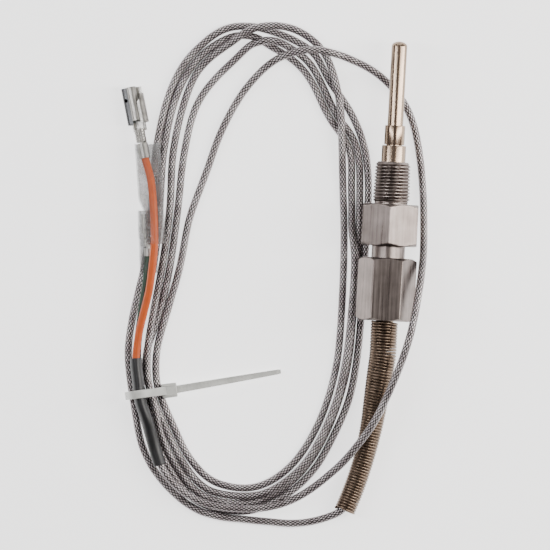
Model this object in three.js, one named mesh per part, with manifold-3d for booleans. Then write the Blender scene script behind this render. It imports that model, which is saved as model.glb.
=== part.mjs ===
// Sheathed thermocouple with a threaded compression fitting, a spring strain relief,
// a long stainless-braided cable wound into a flat oval coil, and two push-on terminals.
// Millimetres, +Z up. The object lies on a table: the probe points along +Y, and the
// centre of its axis is at X = 0 until the whole model is moved to its final origin.
// Y = 0 is the front face of the body's hexagon, where the pipe thread ends.

import * as THREE from 'three';
import * as BufferGeometryUtils from 'three/addons/utils/BufferGeometryUtils.js';
import Module from 'manifold-3d';

const wasm = await Module();
wasm.setup();

// ---------------------------------------------------------------- driving sizes

const RUNNING_GAP = 0.2;        // radial room between pieces that slide on each other
const TOUCHING_GAP = 0.3;       // room between faces that touch on the real object
const ROUND_SIDES = 48;         // sides of the turned pieces

const SHEATH_DIAMETER = 4.5;
const SHEATH_WALL = 0.5;
const SHEATH_EXPOSED = 24.0;    // from the reducing sleeve to the tip
const SLEEVE_DIAMETER = 5.8;
const SLEEVE_LENGTH = 5.7;
const STEM_DIAMETER = 6.9;
const STEM_EXPOSED = 4.7;       // from the pipe thread's end to the reducing sleeve
const STEM_TAIL_DIAMETER = 5.2; // the spring is pushed over this tail
const STEM_TAIL_LENGTH = 7.0;
const STEM_TAIL_BORE = 3.9;

const THREAD_FRONT_DIAMETER = 10.0;
const THREAD_REAR_DIAMETER = 10.6;
const THREAD_LENGTH = 12.0;
const THREAD_PITCH = 0.94;      // 27 threads per inch
const THREAD_DEPTH = 0.62;
const THREAD_START = 0.8;       // bare run-out between the hexagon and the first crest
const BODY_FLATS = 15.9;        // across the flats of the body's hexagon
const BODY_HEX_LENGTH = 12.0;
const NECK_DIAMETER = 9.5;
const NECK_SHOWN = 3.4;         // bare neck between the two hexagons
const STUB_DIAMETER = 10.0;     // threaded stub inside the nut
const STUB_LENGTH = 12.2;       // from the body's hexagon to the stub's back end
const CONE_DEPTH = 4.6;         // seat of the front ferrule
const CONE_MOUTH_DIAMETER = 9.4;

const NUT_FLATS = 14.5;
const NUT_LENGTH = 18.0;
const NUT_TILT = 1.0;           // degrees that the nut is turned from square to the table
const NUT_PITCH = 1.0;          // travel for one turn of the nut
const NUT_TIGHTENING_TURNS = 1.25;
const FERRULE_DIAMETER = 9.7;
const FRONT_FERRULE_LENGTH = 4.0;
const BACK_FERRULE_LENGTH = 2.4;

const SPRING_FRONT_DIAMETER = 7.8;
const SPRING_REAR_DIAMETER = 6.1;
const SPRING_WIRE = 0.8;

const CABLE_DIAMETER = 2.2;
const LEAD_DIAMETER = 2.2;
const GREEN_LEAD_DIAMETER = 2.0;
const CORE_DIAMETER = 1.1;
const COIL_THICKNESS = 2.4;     // one layer of cable
const COIL_BEVEL = 0.8;         // stands for the roundness of the outer strands
const TABLE_GAP = 0.05;         // lowest point of the cable above the table

const TIE_WIDTH = 2.3;
const TIE_THICKNESS = 0.8;
const TIE_DIRECTION = 10.5;     // degrees from the X axis
const TIE_CENTRE = [-65.0, -57.36];
const TIE_HEAD = [4.4, 4.1, 3.6];

const COVER_WALL = 0.4;

// ------------------------------------------------------------- worked-out sizes

const BODY_CORNER_RADIUS = BODY_FLATS / 2 / Math.cos(Math.PI / 6);
const NUT_CORNER_RADIUS = NUT_FLATS / 2 / Math.cos(Math.PI / 6);
const AXIS_HEIGHT = BODY_CORNER_RADIUS;   // the body's lowest corner rests on the table
const BESIDE_BODY = BODY_FLATS / 2 + 2.05; // where the last turn of the cable passes the body

const STEM_FRONT = THREAD_LENGTH + STEM_EXPOSED;
const SLEEVE_FRONT = STEM_FRONT + SLEEVE_LENGTH;
const TIP = SLEEVE_FRONT + SHEATH_EXPOSED;
const NUT_FRONT = -(BODY_HEX_LENGTH + NECK_SHOWN);
const NUT_BACK = NUT_FRONT - NUT_LENGTH;
const STUB_BACK = -(BODY_HEX_LENGTH + STUB_LENGTH);
const STEM_SHOULDER = NUT_BACK + TOUCHING_GAP;
const STEM_TAIL_BACK = STEM_SHOULDER - STEM_TAIL_LENGTH;
const SPRING_START = STEM_SHOULDER - TOUCHING_GAP;
const CABLE_START = STEM_TAIL_BACK + 3.0;
const SHEATH_BORE = SHEATH_DIAMETER - 2 * SHEATH_WALL;
const SHEATH_BACK = THREAD_LENGTH / 2;
const STEM_FRONT_BORE = SHEATH_DIAMETER + 2 * RUNNING_GAP;
const BODY_BORE = STEM_DIAMETER + 2 * RUNNING_GAP;
const FERRULE_BORE = STEM_DIAMETER + 2 * RUNNING_GAP;
const NUT_BORE = STUB_DIAMETER + 2 * TOUCHING_GAP;
const NUT_BACK_BORE = SPRING_FRONT_DIAMETER + 4 * RUNNING_GAP;
const CONE_FRONT = STUB_BACK + CONE_DEPTH;
const FRONT_FERRULE_BACK = STUB_BACK - 1.2;
const BACK_FERRULE_FRONT = FRONT_FERRULE_BACK - NUT_PITCH * NUT_TIGHTENING_TURNS - TOUCHING_GAP;
const BACK_FERRULE_BACK = BACK_FERRULE_FRONT - BACK_FERRULE_LENGTH;
const NUT_SHOULDER = BACK_FERRULE_BACK - TOUCHING_GAP;

// ------------------------------------------------------------------- hand routes

// Centre line of the spring: straight out of the nut, then drooping to the table
// and bending to the left. Each point is X, Y, Z.
const SPRING_ROUTE = [
  [0, SPRING_START, AXIS_HEIGHT],
  [0, -38.5, AXIS_HEIGHT],
  [0, -43.4, AXIS_HEIGHT - 0.18],
  [-0.5, -48.5, AXIS_HEIGHT - 0.68],
  [-1.2, -55.4, AXIS_HEIGHT - 1.68],
  [-2.1, -63.5, 6.2],
  [-3.5, -71.5, 5.0],
  [-5.6, -79.7, 4.0],
  [-7.0, -84.0, 3.6],
  [-8.6, -88.4, 3.4],
];

// The cable from its anchor in the stem's tail, through the spring, to the coil.
const EXIT_ROUTE = [
  [0, CABLE_START, AXIS_HEIGHT],
  [0, -43.4, AXIS_HEIGHT - 0.18],
  [-0.5, -48.5, AXIS_HEIGHT - 0.68],
  [-1.2, -55.4, AXIS_HEIGHT - 1.68],
  [-2.1, -63.5, 6.2],
  [-3.5, -71.5, 5.0],
  [-5.6, -79.7, 4.0],
  [-7.2, -84.6, 3.5],
  [-8.1, -87.0, 3.2],
  [-9.4, -88.7, 2.9],
  [-11.3, -89.5, 2.5],
  [-13.2, -90.2, 2.1],
  [-15.6, -91.1, 1.7],
  [-18.2, -91.8, 1.3],
  [-21.0, -92.3, 1.2],
  [-23.8, -92.6, 1.2],
  [-29.6, -92.3, 1.2],
  [-34.2, -92.1, 1.2],
];

// The last turn of the cable, which lies apart from the others: up the inside of
// the coil, over it at the top, under the probe, past the nut, over the spring and
// back over the coil into the heat-shrink sleeve.
const OUTER_LOOP_ROUTE = [
  [-61.1, -27.4, 1.2],
  [-59.0, -16.9, 1.2],
  [-57.3, -7.7, 1.2],
  [-55.5, -1.5, 1.2],
  [-52.9, 6.5, 1.2],
  [-49.9, 16.8, 1.2],
  [-44.8, 28.0, 1.3],
  [-40.6, 34.0, 1.8],
  [-37.3, 37.6, 3.0],
  [-34.2, 40.0, 4.6],
  [-31.2, 41.3, 5.5],
  [-28.3, 42.4, 5.8],
  [-25.8, 42.8, 5.8],
  [-22.6, 43.0, 5.8],
  [-20.0, 42.4, 5.6],
  [-15.9, 41.4, 4.0],
  [-12.5, 40.1, 2.6],
  [-8.1, 38.3, 1.6],
  [-4.5, 36.0, 1.2],
  [-0.6, 32.4, 1.2],
  [2.7, 28.4, 1.2],
  [5.1, 23.4, 1.2],
  [6.5, 18.6, 1.2],
  [7.8, 12.2, 1.2],
  [8.7, 6.1, 1.5],
  [BESIDE_BODY - 0.7, 0.0, 2.6],
  [BESIDE_BODY - 0.3, -6.0, 4.2],
  [BESIDE_BODY, -11.5, 6.0],
  [BESIDE_BODY, -15.6, 8.3],
  [BESIDE_BODY - 0.25, -20.0, 11.0],
  [9.4, -24.1, AXIS_HEIGHT + 3.5],
  [8.9, -28.4, AXIS_HEIGHT + 4.8],
  [8.3, -32.9, AXIS_HEIGHT + 5.7],
  [7.7, -36.6, AXIS_HEIGHT + 6.1],
  [6.8, -40.1, AXIS_HEIGHT + 6.0],
  [5.9, -43.5, AXIS_HEIGHT + 5.6],
  [4.7, -47.2, AXIS_HEIGHT + 5.0],
  [3.1, -51.7, AXIS_HEIGHT + 4.2],
  [1.4, -56.1, AXIS_HEIGHT + 3.3],
  [-0.5, -60.6, AXIS_HEIGHT + 2.4],
  [-3.2, -65.6, AXIS_HEIGHT + 1.3],
  [-5.8, -69.2, AXIS_HEIGHT + 0.3],
  [-8.0, -72.3, 8.5],
  [-10.5, -75.3, 7.3],
  [-13.8, -78.4, 6.0],
  [-16.2, -80.7, 5.2],
  [-19.2, -83.1, 4.5],
  [-23.3, -85.8, 4.0],
  [-28.1, -87.7, 3.9],
  [-33.0, -88.8, 3.9],
  [-38.3, -89.1, 3.9],
  [-43.8, -89.0, 3.9],
  [-49.0, -88.0, 3.9],
  [-53.3, -86.1, 3.9],
  [-56.9, -83.6, 4.1],
  [-59.6, -80.9, 4.4],
  [-61.6, -78.1, 4.5],
  [-63.7, -72.4, 4.6],
  [-64.4, -70.3, 4.8],
];

// Stations round the coil, in the cable's direction from the bottom: the centre of
// the outermost strand and the centre of the innermost strand, each X, Y.
const COIL_STATIONS = [
  { outer: [-36.7, -92.0], inner: [-36.6, -83.3] },
  { outer: [-51.1, -89.8], inner: [-47.0, -81.6] },
  { outer: [-62.1, -81.0], inner: [-54.7, -73.9] },
  { outer: [-67.2, -72.6], inner: [-57.8, -68.6] },
  { outer: [-69.8, -61.8], inner: [-62.3, -59.9] },
  { outer: [-71.2, -55.5], inner: [-64.1, -54.3] },
  { outer: [-72.6, -46.2], inner: [-64.5, -45.7] },
  { outer: [-71.8, -36.1], inner: [-62.7, -36.2] },
  { outer: [-70.8, -28.2], inner: [-62.5, -29.3] },
  { outer: [-70.5, -26.6], inner: [-63.9, -27.2] },
  { outer: [-69.0, -20.3], inner: [-62.4, -21.0] },
  { outer: [-68.0, -4.0], inner: [-60.5, -3.8] },
  { outer: [-67.6, 11.8], inner: [-59.7, 10.8] },
  { outer: [-64.3, 28.8], inner: [-56.8, 25.5] },
  { outer: [-59.7, 38.2], inner: [-53.4, 33.6] },
  { outer: [-50.8, 47.1], inner: [-45.8, 39.5] },
  { outer: [-42.9, 48.6], inner: [-42.1, 43.8] },
  { outer: [-35.8, 49.2], inner: [-36.0, 42.6] },
  { outer: [-29.5, 48.2], inner: [-31.3, 40.4] },
  { outer: [-22.0, 43.2], inner: [-27.6, 37.6] },
  { outer: [-17.9, 35.0], inner: [-24.7, 34.1] },
  { outer: [-12.9, 25.6], inner: [-19.0, 24.1] },
  { outer: [-8.6, 16.4], inner: [-14.8, 15.2] },
  { outer: [-6.6, 4.5], inner: [-13.9, 3.5] },
  { outer: [-6.7, -6.3], inner: [-13.0, -7.0] },
  { outer: [-6.9, -14.1], inner: [-12.6, -14.7] },
  { outer: [-6.8, -33.5], inner: [-12.4, -34.4] },
  { outer: [-7.3, -44.9], inner: [-12.9, -46.1] },
  { outer: [-8.9, -56.4], inner: [-15.2, -57.6] },
  { outer: [-13.3, -68.1], inner: [-18.0, -65.5] },
  { outer: [-17.8, -76.9], inner: [-22.6, -74.0] },
  { outer: [-25.0, -84.0], inner: [-27.4, -79.1] },
  { outer: [-31.0, -87.2], inner: [-32.1, -82.1] },
];
const FULL_BUNDLE_STATIONS = 9;   // up to here the innermost strand is the last turn's

// The heat-shrink sleeve from the cable's end to the leads.
const HEAT_SHRINK_ROUTE = [
  [-61.7, -77.9, 4.5],
  [-63.7, -72.4, 4.6],
  [-65.2, -68.0, 5.0],
  [-66.3, -64.9, 5.5],
  [-68.2, -60.0, 5.75],
  [-69.2, -54.5, 5.75],
  [-69.9, -50.5, 5.75],
  [-70.2, -47.8, 5.75],
];

const ORANGE_LEAD_ROUTE = [
  [-67.3, -62.2, 6.9],
  [-68.2, -60.0, 6.9],
  [-69.2, -54.5, 6.9],
  [-69.9, -50.5, 6.9],
  [-70.2, -47.4, 6.95],
  [-69.7, -40.6, 7.3],
  [-68.6, -34.5, 7.9],
  [-67.5, -28.5, 8.6],
  [-67.0, -22.5, 9.1],
  [-66.7, -15.3, 9.4],
  [-67.0, -9.9, 9.2],
  [-67.6, -3.9, 8.6],
  [-68.7, 3.1, 7.2],
  [-69.9, 7.0, 6.2],
  [-70.7, 9.4, 5.75],
  [-71.5, 12.6, 5.3],
];

const GREEN_LEAD_ROUTE = [
  [-67.3, -62.2, 4.6],
  [-68.2, -60.0, 4.6],
  [-69.2, -54.5, 4.55],
  [-69.9, -50.5, 4.55],
  [-70.3, -47.4, 4.55],
  [-70.0, -42.6, 4.5],
  [-69.6, -36.9, 4.5],
  [-69.1, -31.1, 4.5],
  [-68.6, -26.8, 4.55],
  [-68.4, -22.5, 4.6],
  [-68.2, -18.8, 4.65],
  [-68.32, -16.9, 4.65],
];

// Clear covers: centre line from the neck to the mouth.
const ORANGE_COVER_ROUTE = [
  [-66.2, -15.0, 9.4],
  [-66.8, -10.0, 9.2],
  [-67.4, -5.4, 9.0],
  [-68.3, -1.7, 8.2],
  [-69.3, 6.0, 6.7],
  [-70.3, 13.6, 5.2],
];
const GREEN_COVER_ROUTE = [
  [-67.8, -23.4, 4.65],
  [-68.2, -18.6, 4.65],
  [-68.5, -14.0, 4.65],
  [-68.7, -11.1, 4.65],
  [-69.1, -5.6, 4.65],
];

// Each terminal: where its insulation crimp starts and where its mouth ends.
const ORANGE_TERMINAL_FROM = [-70.7, 9.2, 5.8];
const ORANGE_TERMINAL_TO = [-75.7, 29.2, 3.3];
const GREEN_TERMINAL_FROM = [-68.2, -18.6, 4.65];
const GREEN_TERMINAL_TO = [-69.0, -6.6, 4.65];

// ---------------------------------------------------------------------- materials

function finish(color, roughness, metalness) {
  return new THREE.MeshStandardMaterial({ color, roughness, metalness });
}

const polishedSteel = () => finish(0xb9b2a8, 0.28, 1.0);
const brushedSteel = () => finish(0xa39b94, 0.38, 1.0);
const springSteel = () => finish(0x9a8c7e, 0.3, 1.0);
const braidedSteel = () => finish(0x9c979b, 0.42, 0.9);
const ceramic = () => finish(0xe8e4da, 0.8, 0.0);
const nickelAlloy = () => finish(0x8d8a85, 0.4, 1.0);
const blackSleeving = () => finish(0x232326, 0.55, 0.0);
const orangeInsulation = () => finish(0xe8590c, 0.5, 0.0);
const greenInsulation = () => finish(0x0d3b24, 0.5, 0.0);
const tinnedBrass = () => finish(0xbdbab2, 0.3, 1.0);
const clearPlastic = () => finish(0xc4c8c6, 0.3, 0.0);
const naturalNylon = () => finish(0xd6d8d2, 0.45, 0.0);

// -------------------------------------------------------------------- shape tools

// Geometry to a manifold solid, for joining and cutting.
function toSolid(geometry) {
  const bare = geometry.index ? geometry.toNonIndexed() : geometry.clone();
  bare.deleteAttribute('normal');
  bare.deleteAttribute('uv');
  const merged = BufferGeometryUtils.mergeVertices(bare, 1e-4);
  const mesh = new wasm.Mesh({
    numProp: 3,
    vertProperties: new Float32Array(merged.attributes.position.array),
    triVerts: new Uint32Array(merged.index.array),
  });
  return new wasm.Manifold(mesh);
}

function toGeometry(solid) {
  const mesh = solid.getMesh();
  const geometry = new THREE.BufferGeometry();
  geometry.setAttribute('position', new THREE.BufferAttribute(new Float32Array(mesh.vertProperties), 3));
  geometry.setIndex(new THREE.BufferAttribute(new Uint32Array(mesh.triVerts), 1));
  geometry.computeVertexNormals();
  return geometry;
}

function join(...geometries) {
  return toGeometry(geometries.map(toSolid).reduce((whole, next) => whole.add(next)));
}

function cut(geometry, ...tools) {
  return toGeometry(tools.map(toSolid).reduce((whole, tool) => whole.subtract(tool), toSolid(geometry)));
}

function common(geometry, other) {
  return toGeometry(toSolid(geometry).intersect(toSolid(other)));
}

// A turned solid about Y. The profile is a list of [radius, y] and closes on itself.
function turned(profile, sides = ROUND_SIDES) {
  const points = [...profile, profile[0]].map(([radius, y]) => new THREE.Vector2(radius, y));
  const geometry = new THREE.LatheGeometry(points, sides);
  return signedVolume(geometry) > 0 ? geometry : flipped(geometry);
}

// A plain tube or rod about Y.
function ring(outerDiameter, innerDiameter, front, back, sides = ROUND_SIDES) {
  const outer = outerDiameter / 2;
  const inner = innerDiameter / 2;
  return turned([[outer, back], [outer, front], [inner, front], [inner, back]], sides);
}

function rod(diameter, front, back, sides = ROUND_SIDES) {
  const bar = new THREE.CylinderGeometry(diameter / 2, diameter / 2, front - back, sides);
  bar.translate(0, (front + back) / 2, 0);
  return bar;
}

function signedVolume(geometry) {
  const flat = geometry.index ? geometry.toNonIndexed() : geometry;
  const position = flat.attributes.position;
  const [a, b, c] = [new THREE.Vector3(), new THREE.Vector3(), new THREE.Vector3()];
  let volume = 0;
  for (let i = 0; i < position.count; i += 3) {
    a.fromBufferAttribute(position, i);
    b.fromBufferAttribute(position, i + 1);
    c.fromBufferAttribute(position, i + 2);
    volume += a.dot(b.cross(c)) / 6;
  }
  return volume;
}

function flipped(geometry) {
  const index = geometry.index.array;
  for (let i = 0; i < index.length; i += 3) {
    const first = index[i];
    index[i] = index[i + 1];
    index[i + 1] = first;
  }
  return geometry;
}

// A hexagonal bar about Y with a corner on top, its corners turned down at both ends.
function hexagon(flats, front, back, chamfer) {
  const cornerRadius = flats / 2 / Math.cos(Math.PI / 6);
  const bar = new THREE.CylinderGeometry(cornerRadius, cornerRadius, front - back, 6);
  bar.translate(0, (front + back) / 2, 0);
  const rise = chamfer * Math.tan(Math.PI / 6);
  const faceRadius = cornerRadius - chamfer;
  const margin = 1;
  const trim = turned([
    [0, back], [faceRadius, back], [cornerRadius + margin, back + rise + margin * Math.tan(Math.PI / 6)],
    [cornerRadius + margin, front - rise - margin * Math.tan(Math.PI / 6)], [faceRadius, front], [0, front],
  ]);
  return common(bar, trim);
}

function route(points) {
  return new THREE.CatmullRomCurve3(points.map(([x, y, z]) => new THREE.Vector3(x, y, z)), false, 'centripetal');
}

// A plain round tube along a route.
function cord(points, diameter, steps, sides = 8) {
  const section = new THREE.Shape();
  for (let i = 0; i < sides; i += 1) {
    const angle = (2 * Math.PI * i) / sides;
    const x = (diameter / 2) * Math.cos(angle);
    const y = (diameter / 2) * Math.sin(angle);
    if (i === 0) section.moveTo(x, y);
    else section.lineTo(x, y);
  }
  section.closePath();
  return new THREE.ExtrudeGeometry(section, { steps, bevelEnabled: false, extrudePath: route(points) });
}

// A solid swept along a route, whose section changes on the way. sectionAt(t) gives a
// closed list of [sideways, upwards] points, the same count at every t, anticlockwise
// as seen looking back along the route.
function sweep(points, steps, sectionAt) {
  const curve = route(points);
  const rings = [];
  for (let step = 0; step <= steps; step += 1) {
    const t = step / steps;
    const centre = curve.getPointAt(t);
    const along = curve.getTangentAt(t);
    const side = new THREE.Vector3(0, 0, 1).cross(along).normalize();
    const up = along.clone().cross(side);
    rings.push(sectionAt(t).map(([a, b]) => centre.clone().addScaledVector(side, a).addScaledVector(up, b)));
  }
  return skin(rings);
}

// A closed skin over a row of rings with the same number of points, capped at both ends.
function skin(rings) {
  const count = rings[0].length;
  const position = rings.flat().flatMap((point) => [point.x, point.y, point.z]);
  const index = [];
  for (let r = 0; r < rings.length - 1; r += 1) {
    for (let i = 0; i < count; i += 1) {
      const a = r * count + i;
      const b = r * count + ((i + 1) % count);
      index.push(a, b, b + count, a, b + count, a + count);
    }
  }
  const last = (rings.length - 1) * count;
  for (let i = 1; i < count - 1; i += 1) {
    index.push(0, i + 1, i, last, last + i, last + i + 1);
  }
  const geometry = new THREE.BufferGeometry();
  geometry.setAttribute('position', new THREE.BufferAttribute(new Float32Array(position), 3));
  geometry.setIndex(index);
  return signedVolume(geometry) > 0 ? geometry : flipped(geometry);
}

function ellipse(width, height, sides) {
  const points = [];
  for (let i = 0; i < sides; i += 1) {
    const angle = (2 * Math.PI * i) / sides;
    points.push([(width / 2) * Math.cos(angle), (height / 2) * Math.sin(angle)]);
  }
  return points;
}

// Two half circles joined by flats.
function stadium(width, height, sides) {
  return ellipse(height, height, sides).map(([x, y], i) => {
    const onFlat = (4 * i) % sides === 0 && (4 * i) / sides % 2 === 1;
    return [onFlat ? 0 : x + (Math.sign(x) * (width - height)) / 2, y];
  });
}

// -------------------------------------------------------------------- assembling

const object = new THREE.Group();      // in its final frame
const assembly = new THREE.Group();    // in the working frame, moved at the end
const onAxis = new THREE.Group();      // turned pieces, about the probe's axis
const onCable = new THREE.Group();     // the cable and what is on it
object.add(assembly);
assembly.add(onAxis, onCable);
onAxis.position.z = AXIS_HEIGHT;

function place(group, name, geometry, material) {
  const mesh = new THREE.Mesh(geometry, material);
  mesh.name = name;
  group.add(mesh);
  return mesh;
}

// ----------------------------------------------------------------- sensing element

const WIRE_DIAMETER = 0.6;
const WIRE_SPACING = 1.3;       // between the centres of the two wires
const BEAD_DIAMETER = 2.0;
const TIP_WALL = 0.9;
const BEAD_Y = TIP - TIP_WALL - TOUCHING_GAP - BEAD_DIAMETER / 2;
const INSULATOR_FRONT = BEAD_Y - 2.0;
const INSULATOR_BACK = SHEATH_BACK + 3.5;
const WIRE_FRONT = BEAD_Y - BEAD_DIAMETER / 2 - TOUCHING_GAP;
const WIRE_BACK = CABLE_START + 0.4;
const SEAL_LENGTH = 2.6;

function probeSheath() {
  const outer = SHEATH_DIAMETER / 2;
  const inner = SHEATH_BORE / 2;
  const dome = outer * 0.62;
  const arc = [];
  for (let i = 0; i <= 8; i += 1) {
    const angle = (Math.PI / 2) * (i / 8);
    arc.push([outer * Math.cos(angle), TIP - dome + dome * Math.sin(angle)]);
  }
  arc[arc.length - 1][0] = 0;
  const innerTop = TIP - TIP_WALL;
  const profile = [
    [0, innerTop], [inner - 0.5, innerTop], [inner, innerTop - 0.5],
    [inner, SHEATH_BACK], [outer, SHEATH_BACK], ...arc,
  ];
  const points = profile.map(([radius, y]) => new THREE.Vector2(radius, y));
  const geometry = new THREE.LatheGeometry(points, ROUND_SIDES);
  return signedVolume(geometry) > 0 ? geometry : flipped(geometry);
}

function insulator() {
  const rodDiameter = SHEATH_BORE - 2 * RUNNING_GAP;
  const bore = WIRE_DIAMETER + 2 * RUNNING_GAP;
  const bores = [-1, 1].map((side) => {
    const drill = rod(bore, INSULATOR_FRONT + 1, INSULATOR_BACK - 1, 12);
    drill.translate((side * WIRE_SPACING) / 2, 0, 0);
    return drill;
  });
  return cut(rod(rodDiameter, INSULATOR_FRONT, INSULATOR_BACK, 32), ...bores);
}

function cementSeal() {
  const plug = rod(SHEATH_BORE - 2 * RUNNING_GAP, INSULATOR_BACK - TOUCHING_GAP,
    INSULATOR_BACK - TOUCHING_GAP - SEAL_LENGTH, 32);
  const holes = [-1, 1].map((side) => {
    const drill = rod(WIRE_DIAMETER + 2 * RUNNING_GAP, INSULATOR_BACK + 1, INSULATOR_BACK - SEAL_LENGTH - 2, 12);
    drill.translate((side * WIRE_SPACING) / 2, 0, 0);
    return drill;
  });
  return cut(plug, ...holes);
}

function thermoelement(side) {
  const wire = rod(WIRE_DIAMETER, WIRE_FRONT, WIRE_BACK, 8);
  wire.translate((side * WIRE_SPACING) / 2, 0, 0);
  return wire;
}

const bead = new THREE.SphereGeometry(BEAD_DIAMETER / 2, 16, 10);
bead.translate(0, BEAD_Y, 0);

place(onAxis, 'probe_sheath', probeSheath(), polishedSteel());
place(onAxis, 'hot_junction', bead, nickelAlloy());
place(onAxis, 'thermoelement_positive', thermoelement(1), nickelAlloy());
place(onAxis, 'thermoelement_negative', thermoelement(-1), nickelAlloy());
place(onAxis, 'insulator', insulator(), ceramic());
place(onAxis, 'cement_seal', cementSeal(), ceramic());
place(onAxis, 'reducing_sleeve',
  ring(SLEEVE_DIAMETER, SHEATH_DIAMETER + 2 * RUNNING_GAP, SLEEVE_FRONT, STEM_FRONT + TOUCHING_GAP), polishedSteel());

// The stem tube is thick where the fitting grips it and thin where the spring sits.
const STEM_BORE = SHEATH_DIAMETER + 2 * RUNNING_GAP;
const SPRING_FRONT_BORE = SPRING_FRONT_DIAMETER - 2 * SPRING_WIRE;

place(onAxis, 'stem_tube', turned([
  [STEM_DIAMETER / 2, STEM_FRONT],
  [STEM_FRONT_BORE / 2, STEM_FRONT],
  [STEM_BORE / 2, STEM_SHOULDER + 2],
  [STEM_TAIL_BORE / 2, STEM_SHOULDER + 1],
  [STEM_TAIL_BORE / 2, STEM_TAIL_BACK],
  [STEM_TAIL_DIAMETER / 2, STEM_TAIL_BACK],
  [STEM_TAIL_DIAMETER / 2, STEM_SHOULDER],
  [STEM_DIAMETER / 2, STEM_SHOULDER],
]), polishedSteel());

place(onAxis, 'cable_anchor', ring(
  STEM_TAIL_BORE - 2 * RUNNING_GAP, CABLE_DIAMETER + 2 * RUNNING_GAP, STEM_TAIL_BACK + 2.6, STEM_TAIL_BACK + 0.4, 24,
), nickelAlloy());

// ------------------------------------------------------------------------ fitting

// Outline of the body without its hexagon: tapered thread, neck, stub and cone seat.
function bodyCore() {
  const thread = [];
  const crests = Math.floor((THREAD_LENGTH - THREAD_START - 0.4) / THREAD_PITCH);
  const radiusAt = (y) => THREE.MathUtils.lerp(THREAD_REAR_DIAMETER, THREAD_FRONT_DIAMETER, y / THREAD_LENGTH) / 2;
  for (let i = 0; i < crests; i += 1) {
    const y = THREAD_START + i * THREAD_PITCH;
    thread.push([radiusAt(y) - THREAD_DEPTH, y]);
    thread.push([radiusAt(y), y + THREAD_PITCH / 2]);
  }
  const end = THREAD_START + crests * THREAD_PITCH;
  thread.push([radiusAt(end) - THREAD_DEPTH, end]);
  thread.push([radiusAt(THREAD_LENGTH) - THREAD_DEPTH - 0.25, THREAD_LENGTH]);
  return turned([
    [BODY_BORE / 2, THREAD_LENGTH],
    [BODY_BORE / 2, CONE_FRONT],
    [CONE_MOUTH_DIAMETER / 2, STUB_BACK],
    [STUB_DIAMETER / 2, STUB_BACK],
    [STUB_DIAMETER / 2, NUT_FRONT - 0.5],
    [NECK_DIAMETER / 2, NUT_FRONT - 0.3],
    [NECK_DIAMETER / 2, 0],
    [radiusAt(0) - THREAD_DEPTH, 0],
    ...thread,
  ], 36);
}

function fittingBody() {
  const bore = rod(BODY_BORE, 1, -BODY_HEX_LENGTH - 1, 36);
  const hex = cut(hexagon(BODY_FLATS, 0, -BODY_HEX_LENGTH, 1.1), bore);
  return join(bodyCore(), hex);
}

function frontFerrule() {
  const inner = FERRULE_BORE / 2;
  const slope = (CONE_MOUTH_DIAMETER - BODY_BORE) / 2 / CONE_DEPTH;
  const nose = FRONT_FERRULE_BACK + FRONT_FERRULE_LENGTH;
  const seatAt = (y) => BODY_BORE / 2 + (CONE_FRONT - y) * slope - RUNNING_GAP;
  return turned([
    [inner, nose],
    [inner, FRONT_FERRULE_BACK],
    [FERRULE_DIAMETER / 2 - 0.3, FRONT_FERRULE_BACK],
    [FERRULE_DIAMETER / 2 - 0.3, STUB_BACK - TOUCHING_GAP],
    [seatAt(STUB_BACK), STUB_BACK],
    [seatAt(nose), nose],
  ], 36);
}

place(onAxis, 'fitting_body', fittingBody(), brushedSteel());
place(onAxis, 'front_ferrule', frontFerrule(), tinnedBrass());
place(onAxis, 'back_ferrule',
  ring(FERRULE_DIAMETER, FERRULE_BORE, BACK_FERRULE_FRONT, BACK_FERRULE_BACK, 36), tinnedBrass());

function compressionNut() {
  const hex = hexagon(NUT_FLATS, NUT_FRONT, NUT_BACK, 0.9);
  hex.rotateY(Math.PI / 6 + THREE.MathUtils.degToRad(NUT_TILT));
  const margin = 1;
  const bore = turned([
    [0, NUT_FRONT + margin], [NUT_BORE / 2, NUT_FRONT + margin], [NUT_BORE / 2, NUT_SHOULDER],
    [NUT_BACK_BORE / 2, NUT_SHOULDER], [NUT_BACK_BORE / 2, NUT_BACK - margin], [0, NUT_BACK - margin],
  ], 36);
  return cut(hex, bore);
}

place(onAxis, 'compression_nut', compressionNut(), brushedSteel());

// The close-wound spring as a plain tapered tube with an open bore.
function springTube() {
  const sides = 16;
  const steps = 22;
  const wall = SPRING_WIRE;
  const diameterAt = (t) => THREE.MathUtils.lerp(
    SPRING_FRONT_DIAMETER, SPRING_REAR_DIAMETER, THREE.MathUtils.smoothstep(t, 0.18, 0.75));
  const outer = sweep(SPRING_ROUTE, steps, (t) => ellipse(diameterAt(t), diameterAt(t), sides));
  const longer = extended(SPRING_ROUTE, 1);
  const inner = sweep(longer, steps + 2, (t) => ellipse(
    diameterAt(t) - 2 * wall, diameterAt(t) - 2 * wall, sides));
  return cut(outer, inner);
}

// The same route, longer at both ends by a straight stretch.
function extended(points, by) {
  const first = new THREE.Vector3(...points[0]);
  const second = new THREE.Vector3(...points[1]);
  const last = new THREE.Vector3(...points[points.length - 1]);
  const beforeLast = new THREE.Vector3(...points[points.length - 2]);
  const start = first.clone().addScaledVector(first.clone().sub(second).normalize(), by);
  const end = last.clone().addScaledVector(last.clone().sub(beforeLast).normalize(), by);
  return [start.toArray(), ...points, end.toArray()];
}

place(onCable, 'strain_relief_spring', springTube(), springSteel());

// -------------------------------------------------------------------------- cable

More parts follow.
